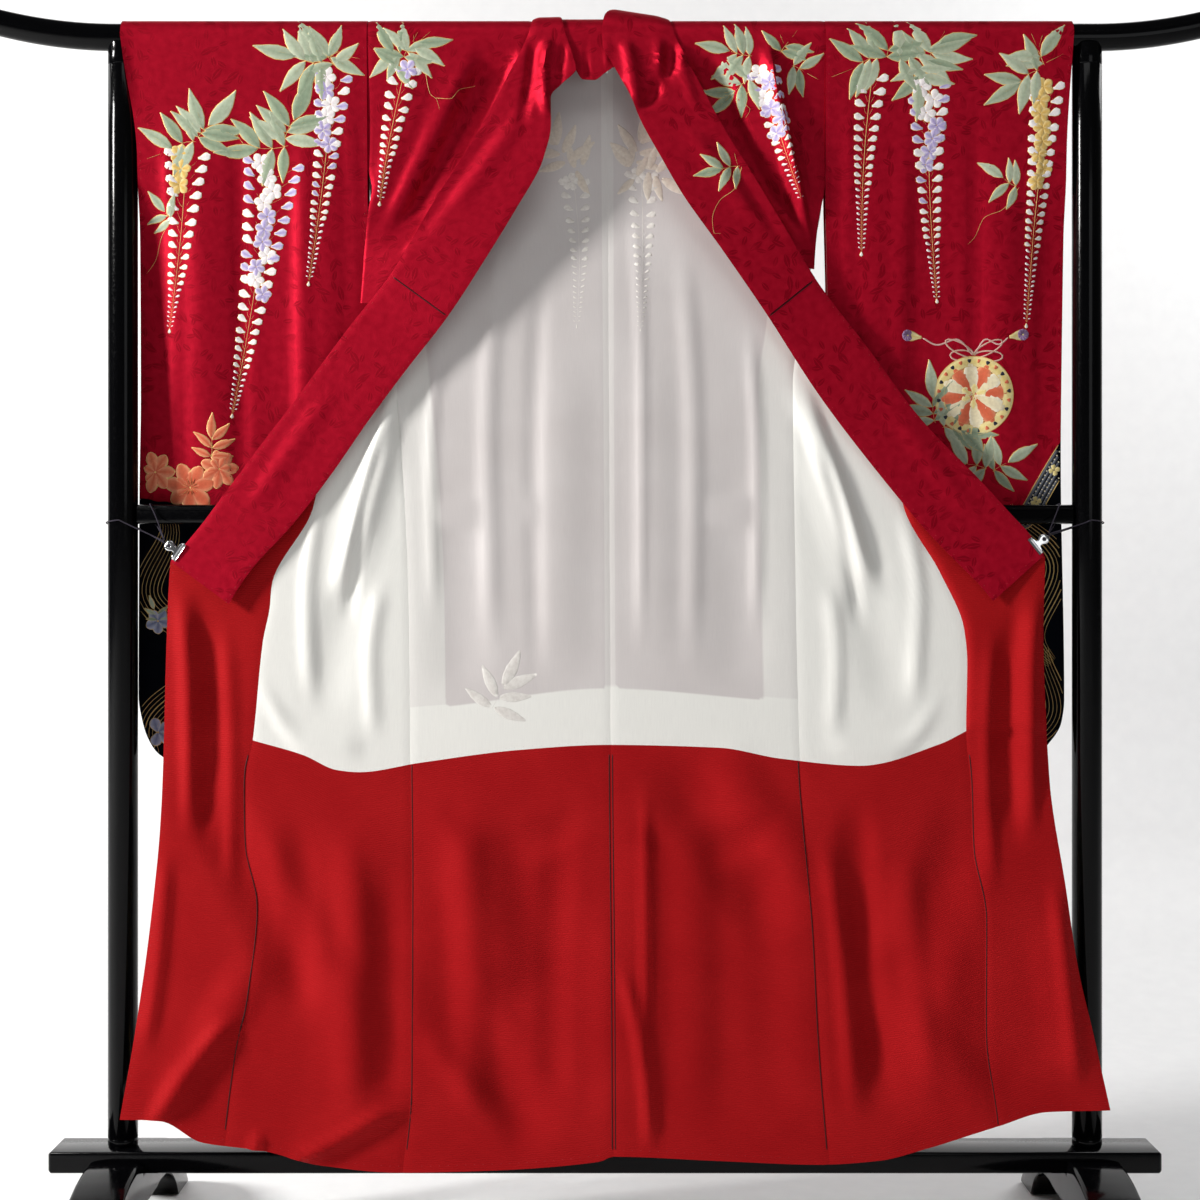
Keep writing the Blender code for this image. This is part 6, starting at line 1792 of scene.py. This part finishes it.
def edge_band(side):
    """A silver band of small dots and four-petalled flowers along the edge of a sleeve's black ground."""
    x = np.linspace(0.33, 0.66, BAND_POINTS) * SIGN[side]
    edge = np.stack((x, sleeve_ground(np.stack((x, 0 * x, 0 * x), -1))), -1)
    down = -sideways(edge) * SIGN[side]
    strokes = []
    half = BAND_HALF / BAND_STRIPS
    for k in range(BAND_STRIPS):
        strokes.append(ribbon(edge + down * half * (2 * k + 1), np.full(BAND_POINTS, half * 1.12), 3, "silver",
                              DYE_AND_SHADE_SLOT, BAND_LIFT))
    for shift in (0.0, 2 * BAND_HALF):
        strokes.append(ribbon(edge + down * shift, np.full(BAND_POINTS, 0.0009), 3, "gold", GOLD_SLOT, FILL_LIFT))
    run = run_length(edge)
    for i, gone in enumerate(np.arange(0.004, run[-1] - 0.004, BAND_DOT_STEP)):
        place, lean = (np.array([np.interp(gone, run, line[:, k]) for k in (0, 1)]) for line in (edge, down))
        angle = math.degrees(math.atan2(lean[1], lean[0]))
        if i % 8 == 4:
            for k in range(4):
                strokes += shape(place + lean * BAND_HALF, angle + 45 + 90 * k, 0.0085, 0.0080, "straw", "round",
                                 outline=0.0, order=BAND_ORDER + k)
        for depth in (0.18, 0.42, 0.58, 0.82) if i % 8 not in (3, 4, 5) else (0.14, 0.86):
            strokes += shape(place + lean * 2 * BAND_HALF * depth, angle, 0.0028, 0.0028, "ivory", "round",
                             outline=0.0, order=BAND_ORDER)
    return strokes


def sleeve_flowers(side, sleeve):
    """Flowers of a sleeve, front and back, over its stream of water and blossoms."""
    draw = random.Random("sleeve " + side)
    x0, x1 = (-0.655, -0.340) if side == "left" else (0.322, 0.648)
    pieces = []
    for face in ("front", "back"):
        tail, front = "sleeve_" + side + "_" + face, face == "front"
        strokes = flowers(MOTIFS["sleeve_" + side], draw)
        water = []
        phase = draw.uniform(0, math.tau)
        for k in range(5):
            x = mix(x0 + 0.028, x1 - 0.028, k / 4)
            high = float(sleeve_ground(np.array((x, 0.0, 0.0)))) - (0.015 if side == "left" else 2.6 * BAND_HALF)
            water += stream((x - 0.024, high), (x + 0.026, 0.810), 8, 0.026, 0.0056, phase + 0.5 * k, draw, 1.2)
            water += stream((x + 0.026, 0.830), (x - 0.024, 0.650), 7, 0.022, 0.0056, phase + 0.5 * k, draw)
        strokes += scatter((x0 + 0.016, 0.66, x1 - 0.016, 0.985), 20, GROUND_TINTS[side], 0.023, draw)
        if side == "left":
            for x, z, size in CORAL_BLOSSOMS:
                strokes += blossom(x, z, size, "coral", draw, 7)
                strokes += blossom(x, z, size * 0.6, "coral", draw, 6)
            strokes += spray(-0.560, 1.100, 75, 0.040, 6, 0.026, "coral", draw)
        else:
            strokes += roundel(0.5235, 1.190, 0.056, draw)
            pieces.append(lay("band_" + tail, edge_band(side), sleeve, front, cut=True))
        pieces.append(lay("water_" + tail, water, sleeve, front, cut=True))
        pieces.append(lay("flowers_" + tail, strokes, sleeve, front))
        pieces.append(stitches("stitches_" + tail, sleeve_edges(side), sleeve, RED_STITCHES,
                               STITCHES_SEED["sleeve"], front))
    return pieces


def sleeve_edges(side):
    """Lines just inside the two long edges of a sleeve, as far down as its crimson ground."""
    z = np.linspace(RAIL_HEIGHT - 0.02, SLEEVE_GROUND + 0.06, 60)
    return [np.stack((line_at[side][name](z) + way * SIGN[side] * HEM_STITCH, z), -1)
            for name, way in (("sleeve_out", -1), ("sleeve_in", 1))]


def body_flowers(side, back):
    """Flowers over the shoulder, down the back and along the hem of a body panel."""
    draw = random.Random("body " + side)
    front = lay("flowers_shoulder_" + side, flowers(MOTIFS["shoulder_" + side], draw), back)
    x0, x1 = (-0.262, 0.002) if side == "left" else (0.016, 0.262)
    strokes = flowers(MOTIFS["back_" + side], draw)
    return [front, lay("flowers_back_" + side, strokes, back, False)] + hem_ground(x0, x1, draw, "back_" + side, back)


def hem_ground(x0, x1, draw, name, cloth):
    """Water and blossoms over the black ground of the outer hem, laid from behind."""
    water, phase = [], draw.uniform(0, math.tau)
    streams = round((x1 - x0) / 0.06)
    for k in range(max(2, streams)):
        x = mix(x0 + 0.02, x1 - 0.02, k / max(1, streams - 1))
        water += stream((x - 0.02, 0.540), (x + 0.02, 0.340), 8, 0.022, 0.0058, phase + 0.5 * k, draw)
        water += stream((x + 0.02, 0.360), (x - 0.02, 0.160), 7, 0.022, 0.0058, phase + 0.5 * k, draw)
    count = int(abs(x1 - x0) * 54)
    blossoms = scatter((x0, 0.15, x1, 0.55), count, GROUND_TINTS["right"], 0.026, draw)
    return [lay("water_" + name, water, cloth, False, cut=True), lay("blossoms_" + name, blossoms, cloth, False)]


def outer_hem_ground(side, name, cloth, near, far):
    """The same on a front or overlap panel, between two of its lines."""
    x0, x1 = sorted(line_x(side, line, 0.30) for line in (near, far))
    return hem_ground(x0 + 0.008, x1 - 0.008, random.Random(name + side), name + "_" + side, cloth)


# Stand, clips and cords

def loft(name, rings, material, angle=35):
    """A closed body through rings of points, with a face at each end."""
    count, last = len(rings[0]), len(rings) - 1
    points = np.concatenate([np.asarray(ring, float) for ring in rings])
    faces = [(k * count + i, k * count + j, (k + 1) * count + j, (k + 1) * count + i)
             for k in range(last) for i, j in ((i, (i + 1) % count) for i in range(count))]
    ends = [list(range(count))[::-1], list(range(last * count, (last + 1) * count))]
    mesh = plain_mesh(name, points, faces + ends)
    mesh.set_sharp_from_angle(angle=math.radians(angle))
    return link(name, mesh, material)


def bevel(item, width, segments):
    """Rounded edges, applied."""
    modifier = item.modifiers.new("rounding", "BEVEL")
    modifier.width = width
    modifier.segments = segments
    modifier.limit_method = "ANGLE"
    modifier.angle_limit = BEVEL_FROM
    mesh = applied(item)
    item.modifiers.clear()
    item.data = mesh
    mesh.shade_smooth()
    mesh.set_sharp_from_angle(angle=BEVEL_SHARP)


def rail_height(x):
    return RAIL_HEIGHT + RAIL_RISE * np.maximum(0.0, np.abs(x) - RAIL_STRAIGHT) ** 2


def make_top_rail():
    half = [(d - RAIL_HALF_LENGTH, share) for d, share in RAIL_END]
    half += [(d - RAIL_HALF_LENGTH, 1.0) for d in np.linspace(*RAIL_BEND)]
    stations = half + [(x, 1.0) for x in (-0.45, 0.0, 0.45)] + [(-x, share) for x, share in reversed(half)]
    rings = []
    for x, share in stations:
        radius = RAIL_RADIUS * share
        rings.append(np.stack((x + 0 * ROUND, radius * np.cos(ROUND), rail_height(x) + radius * np.sin(ROUND)), -1))
    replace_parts(loft("rail_top", rings, LACQUER), "top_rail")


def make_post(side, x):
    """Turned upright with a cap under the rail and a foot ring on the bar."""
    top = RAIL_HEIGHT - RAIL_RADIUS - POST_TOP_GAP
    profile = [(BAR_TOP + rise, share) for rise, share in POST_FOOT] + [(top - fall, share) for fall, share in POST_CAP]
    rings = [np.stack((x + POST_RADIUS * share * np.cos(ROUND), POST_RADIUS * share * np.sin(ROUND), z + 0 * ROUND), -1)
             for z, share in profile]
    depth = np.abs(POST_RADIUS * POST_CAP[-1][1] * np.sin(ROUND))
    hollow = np.sqrt(np.maximum(POST_HORN_DROP ** 2, (RAIL_RADIUS + SEAM_GAP) ** 2 - depth ** 2)) + POST_TOP_GAP
    rings.append(np.stack((rings[-1][:, 0], rings[-1][:, 1], RAIL_HEIGHT - hollow), -1))
    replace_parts(loft("post_" + side, rings, LACQUER, 40), "upright_" + side)


def make_mid_rail():
    profile = [(d * MID_RAIL_HALF_DEPTH, h * MID_RAIL_HALF_HEIGHT) for d, h in MID_RAIL_PROFILE]
    profile += [(-y, rise) for y, rise in reversed(profile)]
    ends = [(-MID_RAIL_HALF_LENGTH, 0.97), (0.0006 - MID_RAIL_HALF_LENGTH, 1.0)]
    rings = [[(x, y * share, MID_RAIL_HEIGHT + h * share) for y, h in profile]
             for x, share in ends + [(-x, share) for x, share in reversed(ends)]]
    rail = loft("rail_middle", rings, LACQUER, 30)
    bevel(rail, 0.0005, 2)
    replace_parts(rail, "mid_rail")


def make_base_bar():
    middle, half = (BAR_TOP + BAR_BOTTOM) / 2, (BAR_TOP - BAR_BOTTOM) / 2
    ends = [(BAR_EDGE * along - BAR_HALF_LENGTH, BAR_EDGE * drawn) for along, drawn in BAR_CORNER]
    rings = [[(x, a * (BAR_HALF_DEPTH - draw), middle + b * (half - draw))
              for a, b in ((-1, -1), (1, -1), (1, 1), (-1, 1))]
             for x, draw in ends + [(-x, draw) for x, draw in reversed(ends)]]
    bar = loft("bar_base", rings, LACQUER, 50)
    bevel(bar, 0.0032, 4)
    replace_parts(bar, "base_bar")


def make_foot(side, x):
    """Arched foot, notched for the bar, with rounded upper edges."""
    top_at = curve_through([(y, top) for y, top, _ in FOOT_STATIONS[2:]])
    low_at = curve_through([(y, low) for y, _, low in FOOT_STATIONS])
    half = [row[:2] for row in FOOT_STATIONS[:2]]
    half += [(y, float(top_at(y))) for y in np.linspace(FOOT_STATIONS[2][0], FOOT_STATIONS[-1][0], 56)]
    w = FOOT_HALF_WIDTH
    rings = []
    for y, top in [(-y, top) for y, top in reversed(half)] + half[1:]:
        low = float(low_at(abs(y)))
        edge = min(FOOT_EDGE, (top - low) * 0.4)
        arc = [(w - edge + edge * math.cos(a), top - edge + edge * math.sin(a))
               for a in np.radians((0, 22, 45, 68, 90))]
        low_edge = min(0.0015, (top - low) * 0.1)
        ring = [(-w + low_edge, low), (w - low_edge, low), (w, low + low_edge)] + arc
        ring += [(-a, b) for a, b in reversed(arc)] + [(-w, low + low_edge)]
        rings.append([(x + a, y, b) for a, b in ring])
    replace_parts(loft("foot_arch_" + side, rings, LACQUER, 30), "foot_" + side)


def clip_frame(side):
    """Grip point of a clip, its direction out of the cloth and the one along its jaws."""
    spec = CLIPS[side]
    out = np.array((spec["out"][0], 0.0, spec["out"][1])) / math.hypot(*spec["out"])
    return np.array((spec["grip"][0], 0.0, spec["grip"][1])), out, np.array((-out[2], 0.0, out[0]))


def make_clip(side):
    """Bulldog clip: rolled jaws, a pressed groove, a waist and a round handle, with a ring and a painted shade for its
    hole.
    """
    grip, out, along = clip_frame(side)
    path = CLIP_ROWS + (CLIP_TURN,) + tuple((d, w, 1 - share, lift) for d, w, share, lift in reversed(CLIP_ROWS))
    shares = np.linspace(-1, 1, 13)[:, None]
    points, outs = [], []
    for distance, width, share, lift in path:
        lean = (share - 0.5) * 2
        way = np.array((0.0, lean, 0.0)) + out * (1 - abs(lean))
        way /= np.linalg.norm(way)
        centre = grip + out * distance + np.array((0.0, mix(CLIP_CLOTH_FRONT, CLIP_CLOTH_REAR, share), 0.0))
        points.append(centre + way * lift + along * width * shares)
        outs.append(way + 0 * shares)
    clip = shell("clip_steel_" + side, (np.array(points), np.array(outs)), *CLIP_SKIN, CHROME, roll=CLIP_ROLL)
    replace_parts(clip, "clip_" + side)
    centre = grip + out * CLIP_HOLE + np.array((0.0, CLIP_CLOTH_FRONT - 0.0010, 0.0))
    ring("clip_hole_" + side, centre, out, along, 0.0030, 0.0005, CHROME)
    # Painted shade: a dark disc in the elastic's material on the handle's face stands for the hole inside the ring
    disc("clip_hole_shade_" + side, centre - np.array((0.0, 0.00005, 0.0)), out, along, 0.0027, ELASTIC)


def ring(name, centre, a, b, radius, thickness, material):
    """A round wire in the plane of a and b."""
    turns, around = 40, 10
    t = np.linspace(0, math.tau, turns + 1)[:-1, None, None]
    s = np.linspace(0, math.tau, around + 1)[:-1, None]
    way = a * np.cos(t) + b * np.sin(t)
    points = centre + way * (radius + thickness * np.cos(s)) + np.array(TO_VIEWER) * thickness * np.sin(s)
    faces = [(i * around + k, (i + 1) % turns * around + k, (i + 1) % turns * around + (k + 1) % around,
              i * around + (k + 1) % around) for i in range(turns) for k in range(around)]
    return link(name, plain_mesh(name, points.reshape(-1, 3), faces), material)


def disc(name, centre, a, b, radius, material):
    """A dark disc inside the ring of a handle: painted shade standing for its hole."""
    t = np.linspace(0, math.tau, 33)[:-1, None]
    points = np.concatenate((centre[None], centre + (a * np.cos(t) + b * np.sin(t)) * radius))
    faces = [(0, i + 1, (i + 1) % 32 + 1) for i in range(32)]
    return link(name, plain_mesh(name, points, faces, False), material)


def cord_tube(name, points):
    """A round cord on a smooth curve through its points."""
    curve = bpy.data.curves.new(name, "CURVE")
    for key, value in (("dimensions", "3D"), ("bevel_depth", CORD_RADIUS), ("bevel_resolution", 4),
                       ("use_fill_caps", True), ("resolution_u", 6)):
        setattr(curve, key, value)
    spline = curve.splines.new("NURBS")
    spline.points.add(len(points) - 1)
    for target, point in zip(spline.points, points):
        target.co = (*point, 1.0)
    spline.order_u = 3
    spline.use_endpoint_u = True
    holder = place_object(name, curve)
    mesh = applied(holder)
    bpy.data.objects.remove(holder)
    bpy.data.curves.remove(curve)
    return link(name, mesh, ELASTIC)


def make_ties(side):
    """Two elastic loops hold a clip: one round the upright and one round the middle rail."""
    sign = SIGN[side]
    grip, out, _ = clip_frame(side)
    clear = CORD_RADIUS + CORD_CLEARANCE
    middle = (CLIP_CLOTH_FRONT + CLIP_CLOTH_REAR) / 2
    end = grip + out * (CLIP_TURN[0] + CLIP_SKIN[1] + CORD_RADIUS + SEAM_GAP) + np.array((0.0, middle, 0.0))
    ends = {key: end + np.array(value) for key, value in TIE_ENDS.items()}
    radius = (POST_RADIUS + clear) / math.cos(math.radians(TIE_STEP / 2))
    start = np.array((sign * (POST_X - radius * 0.30), -radius * 0.985, TIE_POST_TOP - 0.0040))
    route = [ends["post front"], mix(ends["post front"], start, 0.5), start]
    for degrees in range(-90, 151, 15):
        turn = math.radians(degrees)
        route.append((sign * (POST_X + radius * math.cos(turn)), radius * math.sin(turn),
                      mix(TIE_POST_TOP, TIE_POST_LOW, (degrees + 90) / 240)))
    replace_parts(cord_tube("cord_post_" + side, route + [ends["post rear"]]), "tie_post_" + side)
    low, top = (MID_RAIL_HEIGHT + way * (MID_RAIL_HALF_HEIGHT + clear) for way in (-1, 1))
    depth = MID_RAIL_HALF_DEPTH + clear
    first = ends["rail front"]
    slack = (mix(first[0], sign * TIE_RAIL_X, 0.6), -depth - 0.004, low + 0.010)
    under = (mix(first[0], sign * TIE_RAIL_X, 0.5), -depth, low - 0.004)
    loop = [(sign * (TIE_RAIL_X + lean), depth * share * 1.04, mix(low, top, rise))
            for lean, share, rise in TIE_RAIL_LOOP]
    cord = cord_tube("cord_rail_" + side, [first, slack] + loop + [under, ends["rail rear"]])
    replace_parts(cord, "tie_rail_" + side)


def make_stand():
    make_top_rail()
    make_mid_rail()
    make_base_bar()
    for side, x in (("left", -POST_X), ("right", POST_X)):
        make_post(side, x)
        make_foot(side, x)
        make_clip(side)
        make_ties(side)


# Camera, light and floor. A light is (name, place, target, size, power in W, tint)

LIGHTS = (
    ("key", (-3.85, -1.5, 2.5), (0.0, 0.0, 0.90), (0.6, 0.9), 262.0, (1.0, 0.985, 0.965)),
    ("fill", (1.6, -3.4, 1.3), (0.0, 0.0, 0.9), (1.4, 1.6), 9.0, (0.97, 0.985, 1.0)),
    ("top", (0.2, -1.6, 3.2), (0.0, 0.0, 0.9), (1.6, 0.8), 8.0, (1.0, 1.0, 1.0)),
    ("wall left", (-2.2, 0.9, 2.6), (-1.0, 1.85, 1.0), (1.2, 1.2), 9.0, (1.0, 1.0, 1.0)),
    ("wall right", (2.2, 0.9, 2.6), (1.0, 1.85, 1.0), (1.2, 1.2), 27.0, (1.0, 1.0, 1.0)),
)
WORLD_TINT = (0.93, 0.94, 0.96, 1.0)
WORLD_STRENGTH = 0.09
# The floor and its wall, as (depth, height)
FLOOR_PROFILE = ((-6.0, 0.0), (0.9, 0.0), (1.3, 0.03), (1.6, 0.14), (1.8, 0.36), (1.86, 0.7), (1.88, 4.5))


def make_camera():
    camera = place_object("camera", bpy.data.cameras.new("camera"))
    camera.location = CAMERA_PLACE
    camera.rotation_euler = (math.radians(90), 0, 0)
    camera.data.sensor_width = SENSOR
    camera.data.lens = CAMERA_LENS
    bpy.context.scene.camera = camera


def make_light(name, place, target, size, power, tint):
    data = bpy.data.lights.new(name, "AREA")
    data.shape = "RECTANGLE"
    data.size, data.size_y = size
    data.energy = power
    data.color = tint
    item = place_object(name, data)
    item.location = place
    item.rotation_euler = (Vector(target) - Vector(place)).to_track_quat("-Z", "Y").to_euler()


def make_studio():
    """Lights, and a pale floor that turns up into a wall."""
    world = bpy.data.worlds.new("studio")
    world.use_nodes = True
    for socket, value in zip(world.node_tree.nodes["Background"].inputs, (WORLD_TINT, WORLD_STRENGTH)):
        socket.default_value = value
    bpy.context.scene.world = world
    bpy.context.scene.view_settings.view_transform = "Standard"
    for row in LIGHTS:
        make_light(*row)
    made, tree, shader = start_material("pale floor", Roughness=0.55)
    speck = noise(tree, object_place(tree), 30.0, 4.0)
    wire(tree, shader, Base_Color=blend(tree, speck, linear("#E6E7E8"), linear("#EFF0F0")))
    points = [(x, y, z - 0.0006) for y, z in FLOOR_PROFILE for x in (-6.0, 6.0)]
    faces = [(2 * i, 2 * i + 1, 2 * i + 3, 2 * i + 2) for i in range(len(FLOOR_PROFILE) - 1)]
    mesh = plain_mesh("floor", points, faces, False)
    mesh.materials.append(made)
    place_object("floor", mesh)


RED_STITCHES = stitch_tree(RED_THREAD)
WHITE_STITCHES = stitch_tree(WHITE_THREAD)

make_camera()
make_studio()
make_stand()
for side in ("left", "right"):
    make_back(side)
    make_front(side)
    make_okumi(side)
    make_sleeve(side)
    make_collar(side)
make_back_collar()
